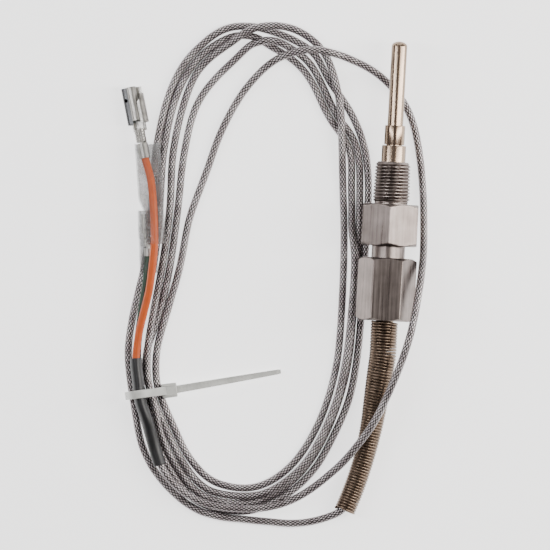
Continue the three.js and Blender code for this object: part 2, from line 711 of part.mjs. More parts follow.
// The flat coil: its outline follows the outermost and the innermost strands. It has
// a step outside, where the cable comes in from the spring, and a step inside, where
// the last turn leaves for its own wider loop.
function coilOutline() {
  const radius = CABLE_DIAMETER / 2;
  const edges = COIL_STATIONS.map(({ outer, inner }) => {
    const [ox, oy] = outer;
    const [ix, iy] = inner;
    const out = new THREE.Vector2(ox - ix, oy - iy).normalize();
    return {
      outer: new THREE.Vector3(ox + out.x * radius, oy + out.y * radius, 0),
      inner: new THREE.Vector3(ix - out.x * radius, iy - out.y * radius, 0),
    };
  });
  const smooth = (points, count) => new THREE.CatmullRomCurve3(points).getPoints(count)
    .map((point) => new THREE.Vector2(point.x, point.y));
  const innerEdges = edges.map((edge) => edge.inner);
  const together = innerEdges.slice(0, FULL_BUNDLE_STATIONS);
  const apart = innerEdges.slice(FULL_BUNDLE_STATIONS);
  const outline = new THREE.Shape(smooth(edges.map((edge) => edge.outer), 84));
  const hole = [...smooth([...apart, together[0]], 64), ...smooth(together, 20).slice(1)];
  outline.holes.push(new THREE.Path(hole.reverse()));
  return outline;
}

function cableCoil() {
  const slab = new THREE.ExtrudeGeometry(coilOutline(), {
    depth: COIL_THICKNESS - 2 * COIL_BEVEL,
    steps: 1,
    bevelSegments: 1,
    bevelSize: COIL_BEVEL,
    bevelThickness: COIL_BEVEL,
    bevelOffset: -COIL_BEVEL,
  });
  slab.translate(0, 0, TABLE_GAP + COIL_BEVEL);
  const notch = new THREE.BoxGeometry(16, TIE_WIDTH + 2 * TOUCHING_GAP, 2 * (TABLE_GAP + TIE_THICKNESS + TOUCHING_GAP));
  tieFrame(notch);
  return cut(slab, notch);
}

// Moves a shape drawn about the tie's own centre, X along its strap, to its place.
function tieFrame(geometry) {
  geometry.rotateZ(THREE.MathUtils.degToRad(TIE_DIRECTION));
  geometry.translate(TIE_CENTRE[0], TIE_CENTRE[1], 0);
  return geometry;
}

place(onCable, 'cable_coil', cableCoil(), braidedSteel());
place(onCable, 'cable_exit', cord(EXIT_ROUTE, CABLE_DIAMETER, 22), braidedSteel());
place(onCable, 'cable_outer_loop', cord(OUTER_LOOP_ROUTE, CABLE_DIAMETER, 66), braidedSteel());

// ----------------------------------------------------- heat-shrink, leads and tie

const SLEEVE_WALL = 0.35;

// Round over the cable, and tall over the two leads, one above the other.
function heatShrink() {
  const heightAt = (t) => THREE.MathUtils.lerp(3.4, 5.8, THREE.MathUtils.smoothstep(t, 0.28, 0.46));
  const outer = sweep(HEAT_SHRINK_ROUTE, 12, (t) => ellipse(3.6, heightAt(t), 16));
  const inner = sweep(extended(HEAT_SHRINK_ROUTE, 1), 14, (t) => ellipse(
    3.6 - 2 * SLEEVE_WALL, heightAt(t) - 2 * SLEEVE_WALL, 16));
  return cut(outer, inner);
}

place(onCable, 'heat_shrink', heatShrink(), blackSleeving());
place(onCable, 'orange_lead', cord(ORANGE_LEAD_ROUTE, LEAD_DIAMETER, 26), orangeInsulation());
place(onCable, 'green_lead', cord(GREEN_LEAD_ROUTE, GREEN_LEAD_DIAMETER, 14), greenInsulation());

// The strap's loop stands on the table round the left of the coil and the sleeve.
function cableTie() {
  const inside = [
    [-6.9, 0.85], [3.4, 0.85], [3.4, 3.0], [-1.7, 8.3], [-2.8, 9.0], [-4.6, 9.0], [-5.6, 8.3], [-6.9, 4.0],
  ];
  const wall = TIE_THICKNESS;
  const outside = [
    [-6.9 - wall, TABLE_GAP], [3.4 + wall, TABLE_GAP], [3.4 + wall, 3.3], [-1.3, 8.9], [-2.6, 9.0 + wall],
    [-4.8, 9.0 + wall], [-6.2, 8.7], [-6.9 - wall, 4.1],
  ];
  const outline = new THREE.Shape(outside.map(([x, z]) => new THREE.Vector2(x, z)));
  outline.holes.push(new THREE.Path(inside.map(([x, z]) => new THREE.Vector2(x, z)).reverse()));
  const loop = new THREE.ExtrudeGeometry(outline, { depth: TIE_WIDTH, bevelEnabled: false, steps: 1 });
  loop.translate(0, 0, -TIE_WIDTH / 2);
  loop.rotateX(Math.PI / 2);
  const [headLength, headWidth, headHeight] = TIE_HEAD;
  const head = new THREE.BoxGeometry(headLength, headWidth, headHeight);
  const headX = 3.4 + headLength / 2;
  head.translate(headX, 0, TABLE_GAP + headHeight / 2);
  const tail = skin(tieTailRings(headX + headLength / 2 - 0.5));
  return tieFrame(join(loop, head, tail));
}

// The free end of the strap: flat, getting narrow in its last third.
function tieTailRings(from) {
  const stations = [
    [from, 2.4, 2.4], [from + 5, 2.3, 2.3], [from + 14, 2.3, 1.8], [from + 21, 1.7, 1.4], [from + 29.5, 1.1, 1.1],
  ];
  const half = 0.35;
  return stations.map(([x, width, z]) => [
    new THREE.Vector3(x, -width / 2, z - half),
    new THREE.Vector3(x, width / 2, z - half),
    new THREE.Vector3(x, width / 2, z + half),
    new THREE.Vector3(x, -width / 2, z + half),
  ]);
}

place(onCable, 'cable_tie', cableTie(), naturalNylon());

// ----------------------------------------------------------- terminals and covers

// A push-on terminal along +Y: insulation crimp, wire crimp, then a receptacle whose
// two edges are rolled over its base plate. The lead's axis is at X = 0, Z = 0.
function terminal({ crimpBore, crimpWall, insulationLength, wireLength, receptacle, length, sheet }) {
  const outer = crimpBore + 2 * crimpWall;
  const [width, height, depth] = receptacle;
  const bottom = -outer / 2;
  const wireFrom = insulationLength + 0.6;
  const receptacleFrom = length - depth;
  const insulationCrimp = ring(outer, crimpBore, insulationLength, 0, 16);
  const wireCrimp = ring(outer, CORE_DIAMETER + RUNNING_GAP, wireFrom + wireLength, wireFrom, 16);
  const strip = new THREE.BoxGeometry(outer * 0.6, receptacleFrom + 0.4 - insulationLength + 0.4, sheet);
  strip.translate(0, (insulationLength - 0.4 + receptacleFrom + 0.4) / 2, bottom + sheet / 2 + 0.1);
  const half = width / 2;
  const slot = width * 0.1;
  const corner = Math.min(height * 0.32, half * 0.5);
  const low = bottom;
  const high = bottom + height;
  const outline = [
    [-half + corner, low], [half - corner, low], [half, low + corner], [half, high - corner], [half - corner, high],
    [slot, high], [slot, high - sheet], [half - corner, high - sheet], [half - sheet, high - corner],
    [half - sheet, low + corner], [half - corner, low + sheet], [-half + corner, low + sheet],
    [-half + sheet, low + corner], [-half + sheet, high - corner], [-half + corner, high - sheet],
    [-slot, high - sheet], [-slot, high], [-half + corner, high], [-half, high - corner], [-half, low + corner],
  ];
  const section = new THREE.Shape(outline.map(([x, z]) => new THREE.Vector2(x, z)));
  const channel = new THREE.ExtrudeGeometry(section, { depth, bevelEnabled: false, steps: 1 });
  channel.rotateX(Math.PI / 2);
  channel.translate(0, length, 0);
  return join(insulationCrimp, wireCrimp, strip, channel);
}

// Moves a shape drawn along +Y so that it starts at one point and aims at another.
// The roll turns it about its own length, from +Z towards +X.
function aim(geometry, from, to, roll = 0) {
  const start = new THREE.Vector3(...from);
  const along = new THREE.Vector3(...to).sub(start).normalize();
  const side = along.clone().cross(new THREE.Vector3(0, 0, 1)).normalize();
  const up = side.clone().cross(along);
  geometry.rotateY(THREE.MathUtils.degToRad(roll));
  geometry.applyMatrix4(new THREE.Matrix4().makeBasis(side, along, up).setPosition(start));
  return geometry;
}

const ORANGE_TERMINAL_LENGTH = new THREE.Vector3(...ORANGE_TERMINAL_FROM)
  .distanceTo(new THREE.Vector3(...ORANGE_TERMINAL_TO));
const GREEN_TERMINAL_LENGTH = new THREE.Vector3(...GREEN_TERMINAL_FROM)
  .distanceTo(new THREE.Vector3(...GREEN_TERMINAL_TO));

const orangeTerminal = {
  crimpBore: LEAD_DIAMETER + RUNNING_GAP,
  crimpWall: 0.4,
  insulationLength: 4.2,
  wireLength: 3.6,
  receptacle: [6.2, 3.2, 10.6],
  length: ORANGE_TERMINAL_LENGTH,
  sheet: 0.7,
};
const greenTerminal = {
  crimpBore: GREEN_LEAD_DIAMETER + RUNNING_GAP,
  crimpWall: 0.3,
  insulationLength: 2.2,
  wireLength: 2.2,
  receptacle: [3.8, 2.3, 5.6],
  length: GREEN_TERMINAL_LENGTH,
  sheet: 0.5,
};
const ORANGE_TERMINAL_ROLL = -18;

place(onCable, 'orange_terminal',
  aim(terminal(orangeTerminal), ORANGE_TERMINAL_FROM, ORANGE_TERMINAL_TO, ORANGE_TERMINAL_ROLL), tinnedBrass());
place(onCable, 'green_terminal',
  aim(terminal(greenTerminal), GREEN_TERMINAL_FROM, GREEN_TERMINAL_TO), tinnedBrass());

// Bare strands from the lead's end through the wire crimp.
function core(sizes) {
  return rod(CORE_DIAMETER, sizes.insulationLength + 0.6 + sizes.wireLength + 0.4, sizes.insulationLength - 0.2, 8);
}

place(onCable, 'orange_core', aim(core(orangeTerminal), ORANGE_TERMINAL_FROM, ORANGE_TERMINAL_TO), nickelAlloy());
place(onCable, 'green_core', aim(core(greenTerminal), GREEN_TERMINAL_FROM, GREEN_TERMINAL_TO), nickelAlloy());

// A flat oval tube with a narrow neck over the lead and a wide body over the terminal.
function cover(points, steps, sectionAt) {
  const outer = sweep(points, steps, (t) => stadium(...sectionAt(t), 20));
  const inner = sweep(extended(points, 1), steps + 2, (t) => {
    const [width, height] = sectionAt(t);
    return stadium(width - 2 * COVER_WALL, height - 2 * COVER_WALL, 20);
  });
  return cut(outer, inner);
}

const orangeSection = (t) => {
  const wide = THREE.MathUtils.smoothstep(t, 0.3, 0.48);
  return [THREE.MathUtils.lerp(5.6, 7.3, wide), THREE.MathUtils.lerp(4.0, 4.9, wide)];
};
const greenSection = (t) => {
  const wide = THREE.MathUtils.smoothstep(t, 0.5, 0.62);
  return [THREE.MathUtils.lerp(5.2, 5.7, wide), 3.8];
};

place(onCable, 'orange_terminal_cover', cover(ORANGE_COVER_ROUTE, 12, orangeSection), clearPlastic());
place(onCable, 'green_terminal_cover', cover(GREEN_COVER_ROUTE, 8, greenSection), clearPlastic());

// --------------------------------------------------------------------- final frame

// The origin is under the middle of the rigid sensor: everything but the cable and
// what is on it.
const rigid = new THREE.Box3().setFromObject(onAxis);
rigid.expandByObject(onCable.getObjectByName('strain_relief_spring'));
const middle = rigid.getCenter(new THREE.Vector3());
assembly.position.set(-middle.x, -middle.y, -rigid.min.z);

export default object;
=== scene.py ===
"""Sheathed thermocouple with a compression fitting, a spring strain relief, a braided
cable in a flat coil and push-on terminals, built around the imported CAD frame.

Shapes are drawn in millimetres in the fitting's own working frame: X across, Y along
the probe with 0 at the front face of the body's hexagon, Z up from the table. `metres`
moves them to the row frame.
"""

import math

import bmesh
import bpy
import numpy as np
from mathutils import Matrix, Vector


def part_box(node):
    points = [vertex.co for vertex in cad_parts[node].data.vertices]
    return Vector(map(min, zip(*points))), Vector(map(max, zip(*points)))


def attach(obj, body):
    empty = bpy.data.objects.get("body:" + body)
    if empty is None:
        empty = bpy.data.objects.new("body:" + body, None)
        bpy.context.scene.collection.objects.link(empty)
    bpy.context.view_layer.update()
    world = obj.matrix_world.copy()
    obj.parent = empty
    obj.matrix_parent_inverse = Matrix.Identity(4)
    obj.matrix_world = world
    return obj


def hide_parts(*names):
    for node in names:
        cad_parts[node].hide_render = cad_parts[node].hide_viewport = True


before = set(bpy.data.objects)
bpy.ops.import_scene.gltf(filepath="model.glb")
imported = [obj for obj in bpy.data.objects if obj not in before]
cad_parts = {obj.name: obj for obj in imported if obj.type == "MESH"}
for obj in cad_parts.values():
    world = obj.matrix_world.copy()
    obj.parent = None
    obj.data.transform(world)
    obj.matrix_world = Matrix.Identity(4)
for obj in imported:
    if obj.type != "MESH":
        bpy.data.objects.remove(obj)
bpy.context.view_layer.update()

# ----- driving sizes, mm

THREAD_LENGTH = 12.0
BODY_FLATS = 15.9
AXIS_HEIGHT = BODY_FLATS / 2 / math.cos(math.pi / 6)
CABLE_DIAMETER = 2.2
LEAD_DIAMETER = 2.2
GREEN_LEAD_DIAMETER = 2.0

body_low, body_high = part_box("fitting_body")
ORIGIN = np.array([
    (body_low.x + body_high.x) / 2,
    body_high.y - THREAD_LENGTH / 1000,
    0.0,
])


def metres(points):
    """Millimetres in the working frame to metres in the row frame."""
    return np.asarray(points, float) / 1000 + ORIGIN


# ----- camera

FRAME_WIDTH = 0.15675
LEAN = math.radians(3.1)

camera_data = bpy.data.cameras.new("camera")
camera_data.type = "ORTHO"
camera_data.ortho_scale = FRAME_WIDTH
camera = bpy.data.objects.new("camera", camera_data)
bpy.context.scene.collection.objects.link(camera)
camera.location = metres([-31.9, -22.0, 600.0])
camera.rotation_euler = (0.0, 0.0, LEAN)
camera_data.clip_start = 0.01
camera_data.clip_end = 5.0
bpy.context.scene.camera = camera

# ----- curve tools


def catmull_rom(points, per_span=12):
    """A centripetal Catmull-Rom curve through the points."""
    pts = np.asarray(points, float)
    pts = np.vstack([2 * pts[0] - pts[1], pts, 2 * pts[-1] - pts[-2]])
    out = []
    for i in range(1, len(pts) - 2):
        p0, p1, p2, p3 = pts[i - 1:i + 3]
        d1 = max(np.linalg.norm(p1 - p0) ** 0.5, 1e-4)
        d2 = max(np.linalg.norm(p2 - p1) ** 0.5, 1e-4)
        d3 = max(np.linalg.norm(p3 - p2) ** 0.5, 1e-4)
        m1 = (p1 - p0) / d1 - (p2 - p0) / (d1 + d2) + (p2 - p1) / d2
        m2 = (p2 - p1) / d2 - (p3 - p1) / (d2 + d3) + (p3 - p2) / d3
        m1 = m1 * d2
        m2 = m2 * d2
        for t in np.arange(per_span) / per_span:
            t2, t3 = t * t, t * t * t
            out.append(
                (2 * t3 - 3 * t2 + 1) * p1 + (t3 - 2 * t2 + t) * m1
                + (3 * t2 - 2 * t3) * p2 + (t3 - t2) * m2
            )
    out.append(pts[-2])
    return np.array(out)


def resample(path, step):
    """The same path with points an equal distance apart, close to step."""
    gaps = np.linalg.norm(np.diff(path, axis=0), axis=1)
    along = np.concatenate([[0], np.cumsum(gaps)])
    count = max(int(round(along[-1] / step)), 2)
    wanted = np.linspace(0, along[-1], count + 1)
    return np.stack([np.interp(wanted, along, path[:, k]) for k in range(3)], axis=1)


def smooth_route(points, step):
    return resample(catmull_rom(points), step)


def distances(path):
    gaps = np.linalg.norm(np.diff(path, axis=0), axis=1)
    return np.concatenate([[0], np.cumsum(gaps)])


def frames_along(path, level=False):
    """Tangent, side and up at every point. With level, side stays in the XY plane."""
    tangent = np.gradient(path, axis=0)
    tangent /= np.linalg.norm(tangent, axis=1)[:, None]
    if level:
        side = np.cross(np.array([0.0, 0.0, 1.0]), tangent)
        side /= np.linalg.norm(side, axis=1)[:, None]
        return tangent, side, np.cross(tangent, side)
    start = np.cross(tangent[0], [0.0, 0.0, 1.0])
    if np.linalg.norm(start) < 1e-3:
        start = np.cross(tangent[0], [1.0, 0.0, 0.0])
    side = np.zeros_like(path)
    side[0] = start / np.linalg.norm(start)
    for i in range(1, len(path)):
        s = side[i - 1] - tangent[i] * np.dot(side[i - 1], tangent[i])
        side[i] = s / np.linalg.norm(s)
    return tangent, side, np.cross(tangent, side)


# ----- mesh tools


def new_object(name, mesh):
    piece = bpy.data.objects.new(name, mesh)
    bpy.context.scene.collection.objects.link(piece)
    return piece


def welded(mesh):
    """Joins points that lie on each other, such as a turned solid's points on its axis."""
    bm = bmesh.new()
    bm.from_mesh(mesh)
    bmesh.ops.remove_doubles(bm, verts=bm.verts, dist=1e-7)
    bm.to_mesh(mesh)
    bm.free()


def outward(mesh):
    bm = bmesh.new()
    bm.from_mesh(mesh)
    bmesh.ops.recalc_face_normals(bm, faces=bm.faces)
    bm.to_mesh(mesh)
    bm.free()


def grid_piece(name, rings, uv=None, closed=False, smooth=True):
    """A skin over rings of points in millimetres: capped ends, or closed on itself."""
    rings = np.asarray(rings, float)
    rows, count = rings.shape[:2]
    vertices = metres(rings.reshape(-1, 3))
    row_pairs = rows if closed else rows - 1
    r = np.repeat(np.arange(row_pairs), count)
    c = np.tile(np.arange(count), row_pairs)
    next_c = (c + 1) % count
    next_r = (r + 1) % rows
    quads = np.stack([r * count + c, r * count + next_c, next_r * count + next_c, next_r * count + c], axis=1)
    faces = quads.tolist()
    if not closed:
        faces.append(list(range(count))[::-1])
        faces.append([(rows - 1) * count + i for i in range(count)])
    mesh = bpy.data.meshes.new(name)
    mesh.from_pydata(vertices.tolist(), [], faces)
    mesh.polygons.foreach_set("use_smooth", [smooth] * len(faces))
    if uv is not None:
        layer = mesh.uv_layers.new(name="UVMap")
        across = np.stack([c, c + 1, c + 1, c], axis=1) / count
        lengthways = np.asarray(uv, float)
        ends = np.append(lengthways, lengthways[-1])
        down = np.stack([ends[r], ends[r], ends[r + 1], ends[r + 1]], axis=1)
        body = np.stack([across, down], axis=2).reshape(-1, 2)
        caps = np.zeros((0 if closed else 2 * count, 2))
        layer.data.foreach_set("uv", np.vstack([body, caps]).ravel())
    mesh.validate()
    mesh.update()
    piece = new_object(name, mesh)
    return piece


def circle(count):
    angle = 2 * math.pi * np.arange(count) / count
    return np.cos(angle), np.sin(angle)


def tube(name, path, radius, sides=16, uv=True):
    """A round tube along a path; radius is a number or one number for each point."""
    path = np.asarray(path, float)
    radius = np.broadcast_to(np.asarray(radius, float), (len(path),))
    _, side, up = frames_along(path)
    c, s = circle(sides)
    rings = path[:, None] + radius[:, None, None] * (
        c[None, :, None] * side[:, None] + s[None, :, None] * up[:, None]
    )
    return grid_piece(name, rings, distances(path) if uv else None)


def turned(name, profile, sides=128):
    """A closed turned solid about the probe's axis from a closed [radius, y] outline."""
    outline = np.asarray(profile, float)
    c, s = circle(sides)
    radius, y = outline[:, 0], outline[:, 1]
    rings = np.stack([
        radius[:, None] * c[None],
        np.repeat(y[:, None], sides, axis=1),
        AXIS_HEIGHT + radius[:, None] * s[None],
    ], axis=2)
    piece = grid_piece(name, rings, closed=True)
    welded(piece.data)
    outward(piece.data)
    crease(piece)
    return piece


def crease(piece, angle=32):
    """Smooth shading, with a hard edge wherever faces meet at more than the angle."""
    mesh = piece.data
    mesh.polygons.foreach_set("use_smooth", [True] * len(mesh.polygons))
    mesh.set_sharp_from_angle(angle=math.radians(angle))


def rounded(outline, radius, steps=3):
    """A closed outline with each corner cut into a small arc."""
    pts = np.asarray(outline, float)
    out = []
    for i, p in enumerate(pts):
        before, after = pts[i - 1], pts[(i + 1) % len(pts)]
        a, b = before - p, after - p
        la, lb = np.linalg.norm(a), np.linalg.norm(b)
        r = min(radius, la * 0.45, lb * 0.45)
        start, end = p + a / la * r, p + b / lb * r
        for k in range(steps + 1):
            t = k / steps
            out.append((1 - t) ** 2 * start + 2 * t * (1 - t) * p + t * t * end)
    return np.array(out)


# ----- material tools


class Nodes:
    """Short names for building a material's node tree."""

    def __init__(self, name):
        self.material = bpy.data.materials.new(name)
        self.material.use_nodes = True
        self.tree = self.material.node_tree
        self.tree.nodes.clear()
        self.output = self.tree.nodes.new("ShaderNodeOutputMaterial")
        self.shader = self.tree.nodes.new("ShaderNodeBsdfPrincipled")
        self.link(self.shader.outputs[0], self.output.inputs["Surface"])

    def link(self, a, b):
        self.tree.links.new(a, b)

    def node(self, kind, inputs=(), **settings):
        made = self.tree.nodes.new(kind)
        for key, value in settings.items():
            setattr(made, key, value)
        for key, value in dict(inputs).items():
            if isinstance(value, bpy.types.NodeSocket):
                self.link(value, made.inputs[key])
            else:
                made.inputs[key].default_value = value
        return made

    def math(self, operation, a, b=0.0, c=0.0):
        return self.node("ShaderNodeMath", {0: a, 1: b, 2: c}, operation=operation).outputs[0]

    def ramp(self, value, stops, interpolation="LINEAR"):
        made = self.node("ShaderNodeValToRGB", {"Fac": value})
        ramp = made.color_ramp
        ramp.interpolation = interpolation
        while len(ramp.elements) < len(stops):
            ramp.elements.new(0.5)
        for element, (position, colour) in zip(ramp.elements, stops):
            element.position = position
            element.color = colour if len(colour) == 4 else (*colour, 1.0)
        return made.outputs["Color"]

    def times(self, first, second, share=1.0):
        """Two colours multiplied."""
        made = self.node("ShaderNodeMix", data_type="RGBA", blend_type="MULTIPLY")
        made.inputs[0].default_value = share
        self.link(first, made.inputs[6])
        self.link(second, made.inputs[7])
        return made.outputs[2]

    def noise(self, vector, scale, detail=3.0, roughness=0.5):
        return self.node("ShaderNodeTexNoise", {
            "Vector": vector, "Scale": scale, "Detail": detail, "Roughness": roughness,
        }).outputs["Fac"]

    def object_coords(self, scale=(1.0, 1.0, 1.0)):
        coords = self.node("ShaderNodeTexCoord").outputs["Object"]
        return self.node("ShaderNodeMapping", {"Vector": coords, "Scale": scale}).outputs[0]

    def bump(self, height, strength, distance, normal=None):
        inputs = {"Height": height, "Strength": strength, "Distance": distance}
        if normal is not None:
            inputs["Normal"] = normal
        return self.node("ShaderNodeBump", inputs).outputs[0]

    def set(self, **values):
        for key, value in values.items():
            socket = self.shader.inputs[key.replace("_", " ")]
            if isinstance(value, bpy.types.NodeSocket):
                self.link(value, socket)
            else:
                socket.default_value = value
        return self.material


def metal(name, dark, light, roughness, scratch_scale, bump=0.0, stretch=(1, 1, 1), coarse=60.0):
    """Bare metal: streaked colour and roughness, with fine tool marks across the streaks."""
    n = Nodes(name)
    streaks = n.noise(n.object_coords(stretch), scratch_scale, 4.0, 0.6)
    patches = n.noise(n.object_coords(), coarse, 2.0, 0.5)
    mix = n.math("ADD", n.math("MULTIPLY", streaks, 0.65), n.math("MULTIPLY", patches, 0.35))
    colour = n.ramp(mix, [(0.3, dark), (0.7, light)])
    rough = n.node("ShaderNodeMapRange", {
        "Value": streaks, "From Min": 0.3, "From Max": 0.7,
        "To Min": roughness * 0.8, "To Max": roughness * 1.3,
    }).outputs[0]
    values = {"Base_Color": colour, "Roughness": rough, "Metallic": 1.0}
    if bump:
        values["Normal"] = n.bump(streaks, bump, 0.00002)
    return n.set(**values)


def plastic(name, dark, light, roughness, scale=400.0, bump=0.1, sheen=0.0):
    """Moulded or extruded plastic with slight mottling and a faint surface grain."""
    n = Nodes(name)
    mottle = n.noise(n.object_coords(), scale, 3.0, 0.5)
    grain = n.noise(n.object_coords(), scale * 8, 2.0, 0.5)
    return n.set(
        Base_Color=n.ramp(mottle, [(0.3, dark), (0.7, light)]),
        Roughness=n.node("ShaderNodeMapRange", {
            "Value": grain, "To Min": roughness * 0.85, "To Max": roughness * 1.15,
        }).outputs[0],
        Normal=n.bump(grain, bump, 0.00002),
        Sheen_Weight=sheen,
    )


BRAID_CARRIERS = 8
BRAID_PITCH = 1.4


def braid_material():
    """Woven bundles of fine wire. UV: turns round the cable, and millimetres along it."""
    n = Nodes("braided_steel")
    uv = n.node("ShaderNodeTexCoord").outputs["UV"]
    parts = n.node("ShaderNodeSeparateXYZ", {"Vector": uv})
    around = n.math("MULTIPLY", parts.outputs[0], float(BRAID_CARRIERS))
    along = n.math("DIVIDE", parts.outputs[1], BRAID_PITCH)
    a = n.math("ADD", around, along)
    b = n.math("SUBTRACT", around, along)
    checks = n.math("ADD", n.math("FLOOR", a), n.math("FLOOR", b))
    a_on_top = n.math("PINGPONG", checks, 1.0)
    across = n.node("ShaderNodeMix", {"Factor": a_on_top, "A": b, "B": a}).outputs[0]
    other = n.node("ShaderNodeMix", {"Factor": a_on_top, "A": a, "B": b}).outputs[0]

    def off_middle(value):
        cell = n.math("FRACT", value)
        return n.math("MULTIPLY", n.math("ABSOLUTE", n.math("SUBTRACT", cell, 0.5)), 2.0)

    side_edge = off_middle(across)
    end_edge = off_middle(other)
    # Painted shade: near-black between the bundles, and darker where each bundle dives under the crossing one.
    gap = n.ramp(side_edge, [(0.50, (1, 1, 1)), (0.80, (0.01, 0.009, 0.009))])
    dive_shade = n.ramp(end_edge, [(0.35, (1, 1, 1)), (0.85, (0.07, 0.062, 0.062))])
    wires = n.math("SINE", n.math("MULTIPLY", across, 2 * math.pi * 4))
    wire_level = n.math("MULTIPLY_ADD", wires, 0.5, 0.5)
    tint = n.ramp(n.noise(n.object_coords(), 260.0, 2.0), [
        (0.35, (0.50, 0.445, 0.455)), (0.65, (0.80, 0.745, 0.755)),
    ])
    crown_across = n.math("SUBTRACT", 1.0, n.math("MULTIPLY", side_edge, side_edge))
    crown_along = n.math("SUBTRACT", 1.0, n.math("MULTIPLY", end_edge, end_edge))
    height = n.math("MULTIPLY_ADD", wire_level, 0.08, n.math("MULTIPLY", crown_across, crown_along))
    return n.set(
        Base_Color=n.times(n.times(tint, gap), dive_shade),
        Metallic=0.8,
        Roughness=0.38,
        Normal=n.bump(height, 0.5, 0.00016),
    )


polished_steel = metal(
    "polished_sheath", (0.18, 0.125, 0.088), (0.40, 0.31, 0.235), 0.2, 900.0, 0.03, (1, 0.02, 1),
)
turned_steel = metal(
    "turned_ferrule", (0.40, 0.365, 0.34), (0.60, 0.56, 0.53), 0.3, 1500.0, 0.15, (0.02, 1, 0.02),
)
milled_steel = metal(
    "milled_hexagon", (0.13, 0.107, 0.097), (0.31, 0.268, 0.25), 0.32, 1600.0, 0.25, (1, 0.03, 1), 260.0,
)
spring_steel = metal("spring_wire", (0.10, 0.07, 0.05), (0.25, 0.185, 0.14), 0.28, 700.0)
# Painted shade: a darker copy of the tin plate, for the shade and dark reflection on the orange terminal's
# left roll.
shaded_tin = metal("shaded_tin", (0.07, 0.072, 0.075), (0.13, 0.132, 0.135), 0.35, 500.0)
tin_plate = metal("tin_plate", (0.32, 0.31, 0.29), (0.50, 0.49, 0.46), 0.34, 500.0, 0.0, (1, 1, 1), 300.0)
nickel_alloy = metal("nickel_wire", (0.3, 0.29, 0.28), (0.5, 0.49, 0.47), 0.4, 900.0, 0.05)
steel_braid = braid_material()
black_sleeving = plastic("shrink_tube", (0.006, 0.006, 0.007), (0.014, 0.014, 0.016), 0.42, 500.0, 0.3)
orange_insulation = plastic("orange_pvc", (0.52, 0.073, 0.0), (0.60, 0.09, 0.0), 0.5, 500.0, 0.15)
green_insulation = plastic("green_pvc", (0.003, 0.028, 0.010), (0.006, 0.045, 0.018), 0.45, 500.0, 0.15)
natural_nylon = plastic("nylon", (0.52, 0.53, 0.5), (0.66, 0.67, 0.64), 0.4, 300.0, 0.1)
ceramic = plastic("fired_ceramic", (0.75, 0.72, 0.66), (0.85, 0.83, 0.78), 0.8, 900.0, 0.3)


VINYL_HAZE_AND_SHADE, VINYL_CLEAR = (0.55, 0.55, 0.55), (0.05, 0.05, 0.05)    # below the lead and at the flanks, where the grey is painted shade at the edges and the haze of both walls below; above the lead, clear


def clear_vinyl():
    """Soft sleeve, clear above; more opaque and grey at the flanks, as painted shade, and underneath, where it
    stands for the haze of both walls. U is the share of a turn, from +X upwards.
    """
    n = Nodes("clear_vinyl")
    haze = n.noise(n.object_coords(), 260.0, 3.0)
    waves = n.noise(n.object_coords((1, 1, 1)), 380.0, 2.0)
    uv = n.node("ShaderNodeTexCoord").outputs["UV"]
    turn = n.node("ShaderNodeSeparateXYZ", {"Vector": uv}).outputs[0]
    # Opacity rises at the flanks and underneath: painted shade at the edges, and the haze of both walls below.
    haze_and_shade = n.ramp(turn, [
        (0.0, VINYL_HAZE_AND_SHADE), (0.07, VINYL_CLEAR), (0.43, VINYL_CLEAR), (0.52, VINYL_HAZE_AND_SHADE),
    ])
    return n.set(
        Base_Color=n.ramp(haze, [(0.3, (0.26, 0.265, 0.265)), (0.7, (0.38, 0.385, 0.385))]),
        Roughness=0.14,
        IOR=1.5,
        Specular_IOR_Level=0.9,
        Alpha=n.math("MULTIPLY", haze_and_shade, n.math("ADD", haze, 0.5)),
        Normal=n.bump(waves, 0.4, 0.0005),
    )


vinyl = clear_vinyl()


def dress(piece, body, material, *nodes, slot=None):
    """Material, body and the CAD nodes that a new piece stands for."""
    piece.data.materials.clear()
    piece.data.materials.append(material)
    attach(piece, body)
    if nodes:
        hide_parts(*nodes)
    return piece


# ----- cable

